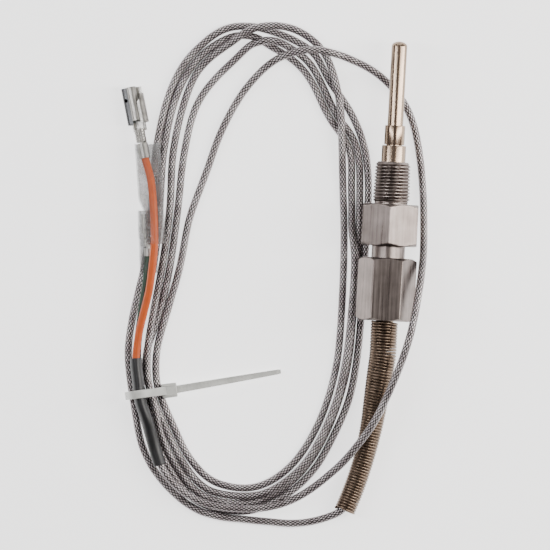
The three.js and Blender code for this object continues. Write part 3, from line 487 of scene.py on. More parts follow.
# Stations round the coil from the bottom, in the cable's direction: the outermost
# strand's centre, the innermost's, and how far in each turn lies, as a share.
COIL = [
    ((-36.7, -92.0), (-36.6, -83.3), (0, .29, .70, .50, 1)),
    ((-51.1, -89.8), (-47.0, -81.6), (0, .25, .68, .42, 1)),
    ((-62.1, -81.0), (-54.7, -73.9), (0, .42, .77, .56, 1)),
    ((-67.2, -72.6), (-57.8, -68.6), (0, .44, .80, .60, 1)),
    ((-69.8, -61.8), (-62.3, -59.9), (0, .51, .77, .75, 1)),
    ((-71.2, -55.5), (-64.1, -54.3), (0, .34, .66, .67, 1)),
    ((-72.6, -46.2), (-64.5, -45.7), (0, .33, .64, .68, 1)),
    ((-71.8, -36.1), (-62.7, -36.2), (0, .28, .80, .64, 1)),
    ((-69.0, -20.3), (-59.1, -21.5), (0, .25, .71, .50, 1)),
    ((-68.0, -4.0), (-60.5, -3.8), (0, .30, 1, .69)),
    ((-67.6, 11.8), (-59.7, 10.8), (0, .25, 1, .60)),
    ((-64.3, 28.8), (-56.8, 25.5), (0, .19, 1, .56)),
    ((-59.7, 38.2), (-51.6, 33.4), (0, .175, 1, .41)),
    ((-50.8, 47.1), (-45.8, 39.5), (0, .32, 1, .50)),
    ((-42.9, 48.6), (-42.1, 43.8), (0, .56, 1, .18)),
    ((-35.8, 49.2), (-36.0, 42.6), (.31, 1, .62, 0)),
    ((-29.5, 48.2), (-31.3, 40.4), (.38, 1, .70, 0)),
    ((-22.0, 43.2), (-27.6, 37.6), (.30, 1, .66, 0)),
    ((-17.9, 35.0), (-24.7, 34.1), (.30, 1, .64, 0)),
    ((-12.9, 25.6), (-19.0, 24.1), (0, 1, .72, .44)),
    ((-8.6, 16.4), (-14.8, 15.2), (0, .64, .32, 1)),
    ((-6.6, 4.5), (-13.9, 3.5), (0, .67, .34, 1)),
    ((-6.7, -6.3), (-13.0, -7.0), (0, .60, .34, 1)),
    ((-6.9, -14.1), (-12.6, -14.7), (0, .45, .30, 1)),
    ((-6.8, -33.5), (-12.4, -34.4), (0, .50, .42, 1)),
    ((-7.3, -44.9), (-12.9, -46.1), (0, .55, .42, 1)),
    ((-8.9, -56.4), (-15.2, -57.6), (0, .57, .47, 1)),
    ((-13.3, -68.1), (-18.0, -65.5), (0, .55, .42, 1)),
    ((-17.8, -76.9), (-22.6, -74.0), (0, .55, .42, 1)),
    ((-25.0, -84.0), (-27.4, -79.1), (0, .56, .30, 1)),
    ((-31.0, -87.2), (-32.1, -82.1), (0, .52, .20, 1)),
]

# Where a turn rides on the ones below: turn, station and how many layers up.
RAISED = {
    (3, 4): 1.0, (3, 5): 1.0, (3, 6): 1.0, (3, 7): 0.7,
    (3, 13): 0.5, (3, 14): 1.0, (3, 15): 1.0, (3, 16): 1.0, (3, 17): 0.5,
    (3, 18): 1.0, (3, 19): 1.0, (3, 20): 1.0,
    (2, 15): 1.0, (2, 16): 0.8,
    (1, 23): 1.0, (1, 24): 1.0, (1, 25): 1.0, (1, 26): 1.0, (1, 27): 1.0,
    (1, 28): 1.0, (1, 29): 1.0, (1, 30): 1.0,
}
LAST_TURN = 4
LAST_TURN_STATIONS = 8
FLOOR_Z = 1.15
LAYER = 2.0

EXIT_ROUTE = [
    (0, -37.1, AXIS_HEIGHT), (0, -43.4, 9.0), (-0.5, -48.5, 8.5), (-1.2, -55.4, 7.5), (-2.1, -63.5, 6.2),
    (-3.5, -71.5, 5.0), (-5.6, -79.7, 4.0), (-7.2, -84.6, 3.5), (-8.1, -87.0, 3.2), (-9.4, -88.7, 2.9),
    (-11.3, -89.5, 2.5), (-13.2, -90.2, 2.1), (-15.6, -91.1, 1.7), (-18.2, -91.8, 1.3), (-21.0, -92.3, 1.2),
    (-23.8, -92.6, 1.2), (-29.6, -92.3, 1.2),
]

OUTER_LOOP_ROUTE = [
    (-57.3, -7.7, 1.2), (-55.5, -1.5, 1.2), (-52.9, 6.5, 1.2), (-49.9, 16.8, 1.2), (-44.8, 28.0, 1.3),
    (-40.6, 34.0, 1.8), (-37.3, 37.6, 3.0), (-34.2, 40.0, 4.6), (-31.2, 41.3, 5.5), (-28.3, 42.4, 5.8),
    (-25.8, 42.8, 5.8), (-22.6, 43.0, 5.8), (-20.0, 42.4, 5.6), (-15.9, 41.4, 4.0), (-12.5, 40.1, 2.6),
    (-8.1, 38.3, 1.6), (-4.5, 36.0, 1.2), (-0.6, 32.4, 1.2), (2.7, 28.4, 1.2), (5.1, 23.4, 1.2),
    (6.5, 18.6, 1.2), (7.8, 12.2, 1.2), (8.7, 6.1, 1.5), (9.3, 0.0, 2.6), (9.7, -6.0, 4.2),
    (10.0, -11.5, 6.0), (10.0, -15.6, 8.3), (9.75, -20.0, 11.0), (9.4, -24.1, 12.7), (8.9, -28.4, 14.0),
    (8.3, -32.9, 14.9), (7.7, -36.6, 15.3), (6.8, -40.1, 15.2), (5.9, -43.5, 14.8), (4.7, -47.2, 14.2),
    (3.1, -51.7, 13.4), (1.4, -56.1, 12.5), (-0.5, -60.6, 11.6), (-3.2, -65.6, 10.5), (-5.8, -69.2, 9.5),
    (-8.0, -72.3, 8.5), (-10.5, -75.3, 7.3), (-13.8, -78.4, 6.0), (-16.2, -80.7, 5.2), (-19.2, -83.1, 4.5),
    (-23.3, -85.8, 4.0), (-28.1, -87.7, 3.9), (-33.0, -88.8, 3.9), (-38.3, -89.1, 3.9), (-43.8, -89.0, 3.9),
    (-49.0, -88.0, 3.9), (-53.3, -86.1, 3.9), (-56.9, -83.6, 4.1), (-59.6, -80.9, 4.4), (-61.6, -78.1, 4.5),
    (-63.7, -72.4, 4.6), (-64.4, -70.3, 4.8),
]

HEAT_SHRINK_ROUTE = [
    (-61.7, -77.9, 4.5), (-63.7, -72.4, 4.6), (-65.2, -68.0, 5.0), (-66.3, -64.9, 5.5), (-68.2, -60.0, 5.75),
    (-69.2, -54.5, 5.75), (-69.9, -50.5, 5.75), (-70.2, -47.8, 5.75),
]


def cable_targets():
    """The cable's whole route, before its strands are kept from lying in each other."""
    route = [np.array(p, float) for p in EXIT_ROUTE]
    for turn in range(LAST_TURN + 1):
        for i, (outer, inner, shares) in enumerate(COIL):
            if turn == LAST_TURN and i > LAST_TURN_STATIONS:
                break
            outer, inner = np.array(outer), np.array(inner)
            xy = outer + shares[turn] * (inner - outer)
            z = FLOOR_Z + LAYER * RAISED.get((turn, i), 0.0)
            route.append(np.array([xy[0], xy[1], z]))
    return route + [np.array(p, float) for p in OUTER_LOOP_ROUTE]


def keep_apart(path, gap, rounds=90, near=9):
    """Moves strands that lie in each other apart, mostly upwards, and keeps bends smooth."""
    target = path.copy()
    index = np.arange(len(path))
    far_apart = np.abs(index[:, None] - index[None]) > near
    for _ in range(rounds):
        away = path[:, None] - path[None]
        distance = np.linalg.norm(away, axis=2)
        close = (distance < gap) & far_apart
        push = np.where(close, (gap - distance) / np.maximum(distance, 0.2), 0.0)
        count = np.maximum(close.sum(axis=1), 1)
        path = path + 0.5 * (push[:, :, None] * away).sum(axis=1) / count[:, None]
        middle = (path[:-2] + path[2:]) / 2
        path[1:-1] += 0.25 * (middle - path[1:-1])
        path[:, :2] += 0.04 * (target[:, :2] - path[:, :2])
        path[:, 2] += 0.02 * (target[:, 2] - path[:, 2])
        path[:, 2] = np.maximum(path[:, 2], CABLE_DIAMETER / 2 + 0.03)
        path[:3], path[-3:] = target[:3], target[-3:]
    return path


cable_path = smooth_route(cable_targets(), 1.2)
cable_path = keep_apart(cable_path, CABLE_DIAMETER + 0.02)
cable_path = smooth_route(cable_path, 0.28)


def braided_tube(name, path, diameter, sides=24):
    """A tube whose skin rises and falls over the crossings of a braid."""
    _, side, up = frames_along(path)
    along = distances(path)
    turns = np.arange(sides) / sides
    a = BRAID_CARRIERS * turns[None] + along[:, None] / BRAID_PITCH
    b = BRAID_CARRIERS * turns[None] - along[:, None] / BRAID_PITCH
    a_on_top = (np.floor(a + 1e-6) + np.floor(b + 1e-6)) % 2 == 1
    across = np.where(a_on_top, a, b) % 1.0
    other = np.where(a_on_top, b, a) % 1.0
    crown = np.sqrt(np.clip(1 - (2 * across - 1) ** 2, 0, 1))
    crown_along = np.sqrt(np.clip(1 - (2 * other - 1) ** 2, 0, 1))
    radius = diameter / 2 * (0.90 + 0.10 * crown * (0.35 + 0.65 * crown_along))
    c, s = circle(sides)
    across = c[None, :, None] * side[:, None] + s[None, :, None] * up[:, None]
    rings = path[:, None] + radius[:, :, None] * across
    return grid_piece(name, rings, along)


cable = braided_tube("braided_cable", cable_path, CABLE_DIAMETER)
dress(cable, "sensor", steel_braid, "cable_exit", "cable_coil", "cable_outer_loop", slot="steel_braid")

# ----- probe and fitting

SHEATH_DIAMETER = 4.5
SHEATH_WALL = 0.5
SLEEVE_DIAMETER = 5.8
STEM_DIAMETER = 6.9
STEM_TAIL_DIAMETER = 5.2
STEM_TAIL_BORE = 3.9
STEM_FRONT = 16.7
SLEEVE_FRONT = 22.4
TIP = 46.4
TIP_WALL = 0.9
STEM_SHOULDER = -33.1
STEM_TAIL_BACK = -40.1
THREAD_FRONT_DIAMETER = 10.0
THREAD_REAR_DIAMETER = 10.6
THREAD_PITCH = 0.94
THREAD_DEPTH = 0.62
BODY_HEX_LENGTH = 12.0
BODY_BORE = 7.3
NECK_DIAMETER = 9.5
STUB_DIAMETER = 10.0
STUB_PITCH = 1.0
STUB_BACK = -24.2
CONE_FRONT = -19.6
CONE_MOUTH_DIAMETER = 9.4
NUT_FLATS = 14.5
NUT_FRONT = -15.4
NUT_BACK = -33.4
NUT_SHOULDER = -29.65
NUT_BORE = 10.6
NUT_BACK_BORE = 8.6
NUT_TILT = 1.0
EDGE = 0.12


def sheath_outline():
    outer, inner = SHEATH_DIAMETER / 2, SHEATH_DIAMETER / 2 - SHEATH_WALL
    dome = outer * 0.62
    angles = np.linspace(0, math.pi / 2, 12)
    arc = [[outer * math.cos(a), TIP - dome + dome * math.sin(a)] for a in angles]
    top = TIP - TIP_WALL
    return [[0, top], [inner - 0.5, top], [inner, top - 0.5], [inner, 6.0], [outer, 6.0]] + arc


sheath = turned("probe_tube", sheath_outline())
dress(sheath, "sensor", polished_steel, "probe_sheath", slot="polished_steel")

sleeve = turned("stepped_ring", rounded([
    [SHEATH_DIAMETER / 2 + 0.15, SLEEVE_FRONT], [SLEEVE_DIAMETER / 2, SLEEVE_FRONT],
    [SLEEVE_DIAMETER / 2, STEM_FRONT + 0.2], [SHEATH_DIAMETER / 2 + 0.15, STEM_FRONT + 0.2],
], 0.3))
dress(sleeve, "sensor", polished_steel, "reducing_sleeve", slot="polished_steel")

stem = turned("gripped_tube", rounded([
    [STEM_DIAMETER / 2, STEM_FRONT], [SHEATH_DIAMETER / 2 + 0.2, STEM_FRONT],
    [SHEATH_DIAMETER / 2 + 0.2, STEM_SHOULDER + 2], [STEM_TAIL_BORE / 2, STEM_SHOULDER + 1],
    [STEM_TAIL_BORE / 2, STEM_TAIL_BACK], [STEM_TAIL_DIAMETER / 2, STEM_TAIL_BACK],
    [STEM_TAIL_DIAMETER / 2, STEM_SHOULDER], [STEM_DIAMETER / 2, STEM_SHOULDER],
], 0.3))
dress(stem, "sensor", polished_steel, "stem_tube", slot="polished_steel")

# Angles closer together near the corners of a hexagon, from one corner to the next.
HALF_SECTOR = [0, 1, 2, 3.2, 4.6, 6.5, 9, 12.5, 17, 22, 26]
SECTOR = np.array(HALF_SECTOR + [30] + [60 - a for a in HALF_SECTOR[:0:-1]])
ROUND_SECTORS = np.radians(np.concatenate([SECTOR + 60 * k for k in range(6)]))


def hexagon_radius(flats, corner_round):
    """The hexagon's radius at each of the angles, its long edges a little rounded."""
    from_corner = np.abs((np.degrees(ROUND_SECTORS) + 30) % 60 - 30)
    phi = np.radians(from_corner)
    centre = (flats / 2 - corner_round) / math.cos(math.pi / 6)
    on_flat = flats / 2 / np.cos(math.pi / 6 - phi)
    inside = np.clip(corner_round ** 2 - (centre * np.sin(phi)) ** 2, 0, None)
    on_round = centre * np.cos(phi) + np.sqrt(inside)
    limit = math.atan2(corner_round / 2, centre + corner_round * math.cos(math.pi / 6))
    return np.where(phi < limit, on_round, on_flat)


def hexagon_rings(flats, front, back, chamfer, corner_round=0.35):
    """Rings from the front to the back of a hexagon turned down to a cone at its ends."""
    outline = hexagon_radius(flats, corner_round)
    face_radius = flats / 2 / math.cos(math.pi / 6) - chamfer
    depths = [0.0, 0.03, 0.1, 0.18, 0.26, 0.34, 0.42, 0.5, 0.58, 0.66, 0.74, 0.82, 0.9, 0.98, 1.3, 2.4]
    middle = np.linspace(2.4, front - back - 2.4, 8)[1:-1]
    along = depths + middle.tolist() + [front - back - d for d in depths[::-1]]
    rings = []
    for depth in along:
        nearest = min(depth, front - back - depth)
        limit = face_radius + nearest / math.tan(math.pi / 6)
        if nearest < 0.02:
            limit = face_radius - EDGE
        rings.append((front - depth, np.minimum(outline, limit)))
    return rings


def thread_rings(front, back, front_radius, back_radius, pitch, depth, angles, steps=10):
    """Rings from front to back over a right-handed helical thread, run out at both ends."""
    rings = []
    count = int((front - back) / pitch * steps)
    for i in range(count + 1):
        y = front - (front - back) * i / count
        crest = back_radius + (front_radius - back_radius) * (y - back) / (front - back)
        turn = (y / pitch + angles / (2 * math.pi)) % 1.0
        shape = np.clip((0.5 - np.abs(turn - 0.5)) / 0.40, 0, 1)
        shape = np.clip(shape * 1.08, 0, 1)
        rise = np.clip((y - back - 0.3) / 0.9, 0, 1)
        radius = crest - depth + depth * shape * rise
        radius = np.minimum(radius, crest - depth - 0.15 + (front - y) * 0.8)
        rings.append((y, radius))
    return rings


def ring_piece(name, rings, first_angle):
    """A closed solid about the probe's axis from a closed row of rings."""
    angles = ROUND_SECTORS + first_angle
    points = []
    for y, radius in rings:
        r = np.broadcast_to(np.asarray(radius, float), angles.shape)
        height = AXIS_HEIGHT + r * np.sin(angles)
        points.append(np.stack([r * np.cos(angles), np.full_like(r, y), height], axis=1))
    piece = grid_piece(name, np.array(points), closed=True)
    outward(piece.data)
    crease(piece, 24)
    return piece


body_angle = math.radians(90)
body_rings = [(THREAD_LENGTH, BODY_BORE / 2 + 0.3)]
body_rings += thread_rings(
    THREAD_LENGTH, 0.0, THREAD_FRONT_DIAMETER / 2, THREAD_REAR_DIAMETER / 2,
    THREAD_PITCH, THREAD_DEPTH, ROUND_SECTORS + body_angle)
body_rings += hexagon_rings(BODY_FLATS, 0.0, -BODY_HEX_LENGTH, 1.6)
body_rings += [(-BODY_HEX_LENGTH, NECK_DIAMETER / 2 + 0.15), (-BODY_HEX_LENGTH - 0.15, NECK_DIAMETER / 2)]
body_rings += [(NUT_FRONT - 0.3, NECK_DIAMETER / 2)]
body_rings += thread_rings(
    NUT_FRONT - 0.5, STUB_BACK, STUB_DIAMETER / 2, STUB_DIAMETER / 2,
    STUB_PITCH, 0.45, ROUND_SECTORS + body_angle, 8)
body_rings += [
    (STUB_BACK, CONE_MOUTH_DIAMETER / 2 - 0.05), (CONE_FRONT, BODY_BORE / 2),
    (THREAD_LENGTH - 0.3, BODY_BORE / 2),
]
fitting = ring_piece("threaded_body", body_rings, body_angle)
dress(fitting, "fitting", milled_steel, "fitting_body", slot="brushed_steel")

nut_rings = [(NUT_FRONT, NUT_BORE / 2 + 0.25)]
nut_rings += hexagon_rings(NUT_FLATS, NUT_FRONT, NUT_BACK, 1.4)
nut_rings += [
    (NUT_BACK, NUT_BACK_BORE / 2 + 0.2), (NUT_BACK + 0.2, NUT_BACK_BORE / 2),
    (NUT_SHOULDER, NUT_BACK_BORE / 2),
    (NUT_SHOULDER, NUT_BORE / 2), (NUT_FRONT - 0.25, NUT_BORE / 2),
]
nut = ring_piece("clamping_nut", nut_rings, math.radians(90 - 30 - NUT_TILT))
dress(nut, "nut", milled_steel, "compression_nut", slot="brushed_steel")

# ----- spring

SPRING_FRONT_DIAMETER = 7.8
SPRING_REAR_DIAMETER = 6.1
SPRING_WIRE = 0.8
SPRING_PITCH = 0.82
SPRING_ROUTE = [
    (0, -33.4, AXIS_HEIGHT), (0, -38.5, AXIS_HEIGHT), (0, -43.4, 9.0), (-0.5, -48.5, 8.5), (-1.2, -55.4, 7.5),
    (-2.1, -63.5, 6.2), (-3.5, -71.5, 5.0), (-5.6, -79.7, 4.0), (-7.0, -84.0, 3.6), (-8.6, -88.4, 3.4),
]


def smoothstep(x, low, high):
    t = np.clip((x - low) / (high - low), 0, 1)
    return t * t * (3 - 2 * t)


def spring_path():
    line = smooth_route(SPRING_ROUTE, 0.05)
    _, side, up = frames_along(line)
    along = distances(line)
    wire = SPRING_WIRE / 2
    count = int(round((along[-1] - 2 * wire) / SPRING_PITCH))
    turns = np.linspace(0, count, count * 26 + 1)
    where = wire + (along[-1] - 2 * wire) * turns / count
    centre = np.stack([np.interp(where, along, line[:, k]) for k in range(3)], axis=1)
    side = np.stack([np.interp(where, along, side[:, k]) for k in range(3)], axis=1)
    up = np.stack([np.interp(where, along, up[:, k]) for k in range(3)], axis=1)
    share = smoothstep(where / along[-1], 0.18, 0.75)
    diameter = SPRING_FRONT_DIAMETER + (SPRING_REAR_DIAMETER - SPRING_FRONT_DIAMETER) * share
    radius = diameter / 2 - wire
    angle = -2 * math.pi * turns
    return centre + radius[:, None] * (np.cos(angle)[:, None] * side + np.sin(angle)[:, None] * up)


spring = tube("wound_spring", spring_path(), SPRING_WIRE / 2, 12)
dress(spring, "sensor", spring_steel, "strain_relief_spring", slot="spring_steel")

# ----- sleeve and insulated leads


def swept(name, route, step, section_at, wall=0.0):
    """A solid or, with a wall, an open tube. section_at(share) gives an outline's points."""
    path = smooth_route(route, step)
    _, side, up = frames_along(path, level=True)
    shares = np.linspace(0, 1, len(path))

    def rings(inset):
        out = []
        for i, share in enumerate(shares):
            outline = section_at(share, inset)
            out.append(path[i] + outline[:, :1] * side[i] + outline[:, 1:] * up[i])
        return out

    if wall:
        edge = wall * 0.3
        outer, inner = rings(0.0), rings(wall)
        skin = [rings(edge)[0]] + outer[0:] + [rings(edge)[-1]] + inner[::-1]
        skin[1] = skin[1] + (outer[1] - outer[0]) * min(1.0, edge / step)
        skin[len(outer)] = skin[len(outer)] + (outer[-2] - outer[-1]) * min(1.0, edge / step)
        piece = grid_piece(name, skin, np.arange(len(skin)), closed=True)
    else:
        piece = grid_piece(name, rings(0.0))
    outward(piece.data)
    crease(piece, 40)
    return piece


def oval(width, height, count=32):
    c, s = circle(count)
    return np.stack([width / 2 * c, height / 2 * s], axis=1)


def stadium(width, height, count=36):
    """Two half circles joined by flats."""
    c, s = circle(count)
    return np.stack([height / 2 * c + np.sign(np.round(c, 6)) * (width - height) / 2, height / 2 * s], axis=1)


SLEEVE_WALL = 0.35


def sleeve_section(share, inset):
    tall = smoothstep(share, 0.12, 0.56)
    height = 3.4 + 2.4 * tall - 2 * inset
    width = 3.6 - 2 * inset
    outline = oval(width, height, 40)
    waist = 1 - 0.03 * tall * np.exp(-(outline[:, 1] / 0.7) ** 2)
    outline[:, 0] *= waist
    return outline


black_sleeve = swept("shrunk_sleeve", HEAT_SHRINK_ROUTE, 0.5, sleeve_section, SLEEVE_WALL)
dress(black_sleeve, "sensor", black_sleeving, "heat_shrink", slot="black_sleeving")

ORANGE_LEAD_ROUTE = [
    (-67.3, -62.2, 6.9), (-68.2, -60.0, 6.9), (-69.2, -54.5, 6.9), (-69.9, -50.5, 6.9), (-70.2, -47.4, 6.95),
    (-69.7, -40.6, 7.3), (-68.6, -34.5, 7.9), (-67.5, -28.5, 8.6), (-67.0, -22.5, 9.1), (-66.7, -15.3, 9.4),
    (-67.0, -9.9, 9.2), (-67.6, -3.9, 8.6), (-68.7, 3.1, 7.2), (-69.9, 7.0, 6.2), (-70.7, 9.4, 5.75),
    (-71.5, 12.6, 5.3),
]
GREEN_LEAD_ROUTE = [
    (-67.3, -62.2, 4.6), (-68.2, -60.0, 4.6), (-69.2, -54.5, 4.55), (-69.9, -50.5, 4.55),
    (-70.3, -47.4, 4.55),
    (-70.0, -42.6, 4.5), (-69.6, -36.9, 4.5), (-69.1, -31.1, 4.5), (-68.6, -26.8, 4.55), (-68.4, -22.5, 4.6),
    (-68.2, -18.8, 4.65), (-68.32, -16.9, 4.65),
]
orange_path = smooth_route(ORANGE_LEAD_ROUTE, 0.6)
green_path = smooth_route(GREEN_LEAD_ROUTE, 0.6)
orange_lead = tube("orange_wire", orange_path, LEAD_DIAMETER / 2, 24)
crease(orange_lead, 50)
dress(orange_lead, "sensor", orange_insulation, "orange_lead", slot="orange_insulation")
green_lead = tube("green_wire", green_path, GREEN_LEAD_DIAMETER / 2, 24)
crease(green_lead, 50)
dress(green_lead, "sensor", green_insulation, "green_lead", slot="green_insulation")

# ----- cable tie

TIE_WIDTH = 2.3
TIE_THICKNESS = 0.8
TIE_DIRECTION = math.radians(10.5)
TIE_CENTRE = np.array([-65.0, -57.36, 0.0])
TIE_HEAD = (4.4, 4.1, 3.6)
TIE_LOOP = [
    (-6.2, 0.45), (-1.5, 0.45), (3.0, 0.45), (3.8, 1.2), (3.8, 3.1), (1.6, 5.7), (-1.5, 8.7), (-2.8, 9.4),
    (-4.6, 9.4), (-5.9, 8.5), (-7.0, 5.4), (-7.3, 3.6), (-7.3, 1.2),
]


def tie_place(points):
    """From the tie's own frame, X along its strap, to the working frame."""
    p = np.asarray(points, float)
    c, s = math.cos(TIE_DIRECTION), math.sin(TIE_DIRECTION)
    x, y, z = p[..., 0], p[..., 1], p[..., 2]
    turned_points = np.stack([c * x - s * y, s * x + c * y, z], axis=-1)
    return turned_points + TIE_CENTRE


def tie_loop():
    points = np.array([(x, 0.0, z) for x, z in TIE_LOOP])
    closed = np.vstack([points[-2:], points, points[:3]])
    curve = catmull_rom(closed, 12)
    line = resample(curve[24:24 + 12 * len(points) + 1], 0.5)[:-1]
    tangent = np.roll(line, -1, axis=0) - np.roll(line, 1, axis=0)
    tangent /= np.linalg.norm(tangent, axis=1)[:, None]
    across = np.array([0.0, 1.0, 0.0])
    normal = np.cross(tangent, across)
    w, h = TIE_WIDTH / 2, TIE_THICKNESS / 2
    section = rounded([(-w, -h), (w, -h), (w, h), (-w, h)], 0.2, 3)
    rings = line[:, None] + section[None, :, :1] * across + section[None, :, 1:] * normal[:, None]
    return grid_piece("tie_loop", tie_place(rings), closed=True)


def tie_tail():
    """The strap's free end: a toothed band between two smooth rails, narrow at the end."""
    from_x, to_x = 6.6, 37.2
    along = np.arange(from_x, to_x, 0.25)
    share = (along - from_x) / (to_x - from_x)
    width = np.interp(share, [0, 0.17, 0.47, 0.71, 0.97, 1.0], [2.2, 2.1, 1.9, 1.7, 1.4, 1.1])
    height = np.interp(share, [0, 0.17, 0.47, 0.71, 1.0], [2.4, 2.3, 1.8, 1.4, 1.1])
    bend = 0.042 * (along - from_x)
    rings = []
    for x, w, z, y, part in zip(along, width / 2, height, bend, share):
        tooth = 0.12 * ((x / 1.0) % 1.0) if part < 0.75 else 0.0
        h = 0.38 if part < 0.97 else 0.25
        section = [
            (-w + 0.1, -h), (w - 0.1, -h), (w, -h + 0.1), (w, h - 0.1), (w - 0.1, h), (0.62 * w, h),
            (0.52 * w, h - tooth), (-0.52 * w, h - tooth), (-0.62 * w, h), (-w + 0.1, h),
            (-w, h - 0.1), (-w, -h + 0.1),
        ]
        rings.append([(x, y + a, z + b) for a, b in section])
    return grid_piece("tie_tail", tie_place(np.array(rings)))


def block(name, low, high, bevel, place=None):
    """A box between two corners in millimetres with bevelled edges."""
    bm = bmesh.new()
    bmesh.ops.create_cube(bm, size=1.0)
    low, high = np.asarray(low, float), np.asarray(high, float)
    for vertex in bm.verts:
        vertex.co = Vector((low + high) / 2 + np.array(vertex.co) * (high - low))
    bmesh.ops.bevel(bm, geom=bm.edges[:], offset=bevel, segments=3, profile=0.5, affect="EDGES")
    for vertex in bm.verts:
        spot = np.array(vertex.co)
        vertex.co = Vector(metres(place(spot) if place else spot))
    mesh = bpy.data.meshes.new(name)
    bm.to_mesh(mesh)
    bm.free()
    piece = new_object(name, mesh)
    crease(piece, 30)
    return piece


def joined(pieces, name):
    """One object from several closed ones."""
    bpy.ops.object.select_all(action="DESELECT")
    for piece in pieces:
        piece.select_set(True)
    bpy.context.view_layer.objects.active = pieces[0]
    bpy.ops.object.join()
    whole = bpy.context.view_layer.objects.active
    whole.name = name
    return whole


head_from = 2.7
head_parts = [
    block(
        "tie_head", (head_from, -TIE_HEAD[1] / 2, 0.05),
        (head_from + TIE_HEAD[0], TIE_HEAD[1] / 2, 3.65), 0.35, tie_place,
    ),
    block("tie_rim", (head_from + 0.7, -1.45, 3.5), (head_from + 3.7, -1.15, 3.85), 0.1, tie_place),
    block("tie_rim", (head_from + 0.7, 1.15, 3.5), (head_from + 3.7, 1.45, 3.85), 0.1, tie_place),
]
loop, tail = tie_loop(), tie_tail()
for part in (loop, tail):
    outward(part.data)
    crease(part, 35)
tie = joined([loop, tail] + head_parts, "nylon_tie")
dress(tie, "sensor", natural_nylon, "cable_tie", slot="natural_nylon")

# ----- terminals and covers

ORANGE_TERMINAL_FROM, ORANGE_TERMINAL_TO = (-70.7, 9.2, 5.8), (-75.7, 29.2, 3.3)
GREEN_TERMINAL_FROM, GREEN_TERMINAL_TO = (-68.2, -18.6, 4.65), (-69.0, -6.6, 4.65)
ORANGE_TERMINAL_ROLL = -18


def aimed(start, end, roll=0.0):
    """A function that moves points drawn along +Y to start at one point and aim at another."""
    start, end = np.array(start, float), np.array(end, float)
    along = (end - start) / np.linalg.norm(end - start)
    side = np.cross(along, [0, 0, 1])
    side /= np.linalg.norm(side)
    up = np.cross(side, along)
    turn = math.radians(roll)
    basis = np.stack([side, along, up])

    def place(points):
        p = np.asarray(points, float)
        c, s = math.cos(turn), math.sin(turn)
        x = c * p[..., 0] + s * p[..., 2]
        z = -s * p[..., 0] + c * p[..., 2]
        return start + np.stack([x, p[..., 1], z], axis=-1) @ basis

    return place


def bent_sheet(name, line, thickness, back, front, place, rows=8, relief=None):
    """Sheet metal bent to a line of [x, z] points and running from back to front in y.

    back and front are numbers, or functions of the share along the line.
    """
    fine = resample(catmull_rom([(x, 0.0, z) for x, z in line]), 0.16)
    tangent = np.gradient(fine, axis=0)
    tangent /= np.linalg.norm(tangent, axis=1)[:, None]
    normal = np.stack([-tangent[:, 2], np.zeros(len(fine)), tangent[:, 0]], axis=1)
    share = np.linspace(0, 1, len(fine))
    y_back = np.array([back(s) if callable(back) else back for s in share])
    y_front = np.array([front(s) if callable(front) else front for s in share])
    vertices = []
    for r in np.linspace(0, 1, rows + 1):
        y = y_back + (y_front - y_back) * r
        lift = relief(share, y) if relief else 0.0
        half = thickness / 2
        top = fine + normal * (half + np.asarray(lift))[..., None] if relief else fine + normal * half
        bottom = fine - normal * half
        top, bottom = top.copy(), bottom.copy()
        top[:, 1] = y
        bottom[:, 1] = y
        vertices.append(np.concatenate([top, bottom]))
    n = len(fine)
    vertices = np.array(vertices)
    faces = []

    def at(row, side_index, i):
        return row * 2 * n + side_index * n + i

    for r in range(rows):
        for i in range(n - 1):
            faces.append((at(r, 0, i), at(r, 0, i + 1), at(r + 1, 0, i + 1), at(r + 1, 0, i)))
            faces.append((at(r, 1, i), at(r + 1, 1, i), at(r + 1, 1, i + 1), at(r, 1, i + 1)))
        for i in (0, n - 1):
            faces.append((at(r, 0, i), at(r + 1, 0, i), at(r + 1, 1, i), at(r, 1, i)))
    for r in (0, rows):
        for i in range(n - 1):
            faces.append((at(r, 0, i), at(r, 1, i), at(r, 1, i + 1), at(r, 0, i + 1)))
    mesh = bpy.data.meshes.new(name)
    mesh.from_pydata(metres(place(vertices.reshape(-1, 3))).tolist(), [], faces)
    mesh.update()
    outward(mesh)
    piece = new_object(name, mesh)
    crease(piece, 35)
    return piece


def arc_points(centre_x, centre_z, radius, start, end, count=9, flatten=1.0):
    angles = np.radians(np.linspace(start, end, count))
    return [(centre_x + radius * math.cos(a), centre_z + radius * flatten * math.sin(a)) for a in angles]


SERRATION_DEPTH, SERRATION_PITCH = 0.09, 0.8
WIRE_CRIMP_RADIUS = 1.2      # slim enough for the cover to slide over its back edge
INSULATION_CRIMP_RADIUS = 1.4


def serration(share, y):
    """Cross grooves pressed into a crimp."""
    return SERRATION_DEPTH * (np.sin(y * 2 * math.pi / SERRATION_PITCH) > 0.2)


def crimp(name, radius, back, front, place, sheet, lobes=True, serrated=False):
    """A strip closed round a wire, its two edges turned in on top."""
    if lobes:
        line = [(-0.08 * radius, radius * 0.35), (-0.12 * radius, radius * 0.8)]
        line += arc_points(-0.45 * radius, radius * 0.45, radius * 0.5, 90, 170, 5)
        line += arc_points(0, 0, radius, 185, 355, 13)
        line += arc_points(0.45 * radius, radius * 0.45, radius * 0.5, 10, 90, 5)
        line += [(0.12 * radius, radius * 0.8), (0.08 * radius, radius * 0.35)]
    else:
        line = arc_points(0, 0, radius, 91, 449, 27)
    relief = serration if serrated else None
    return bent_sheet(name, line[::-1], sheet, back, front, place, 20 if serrated else 6, relief)


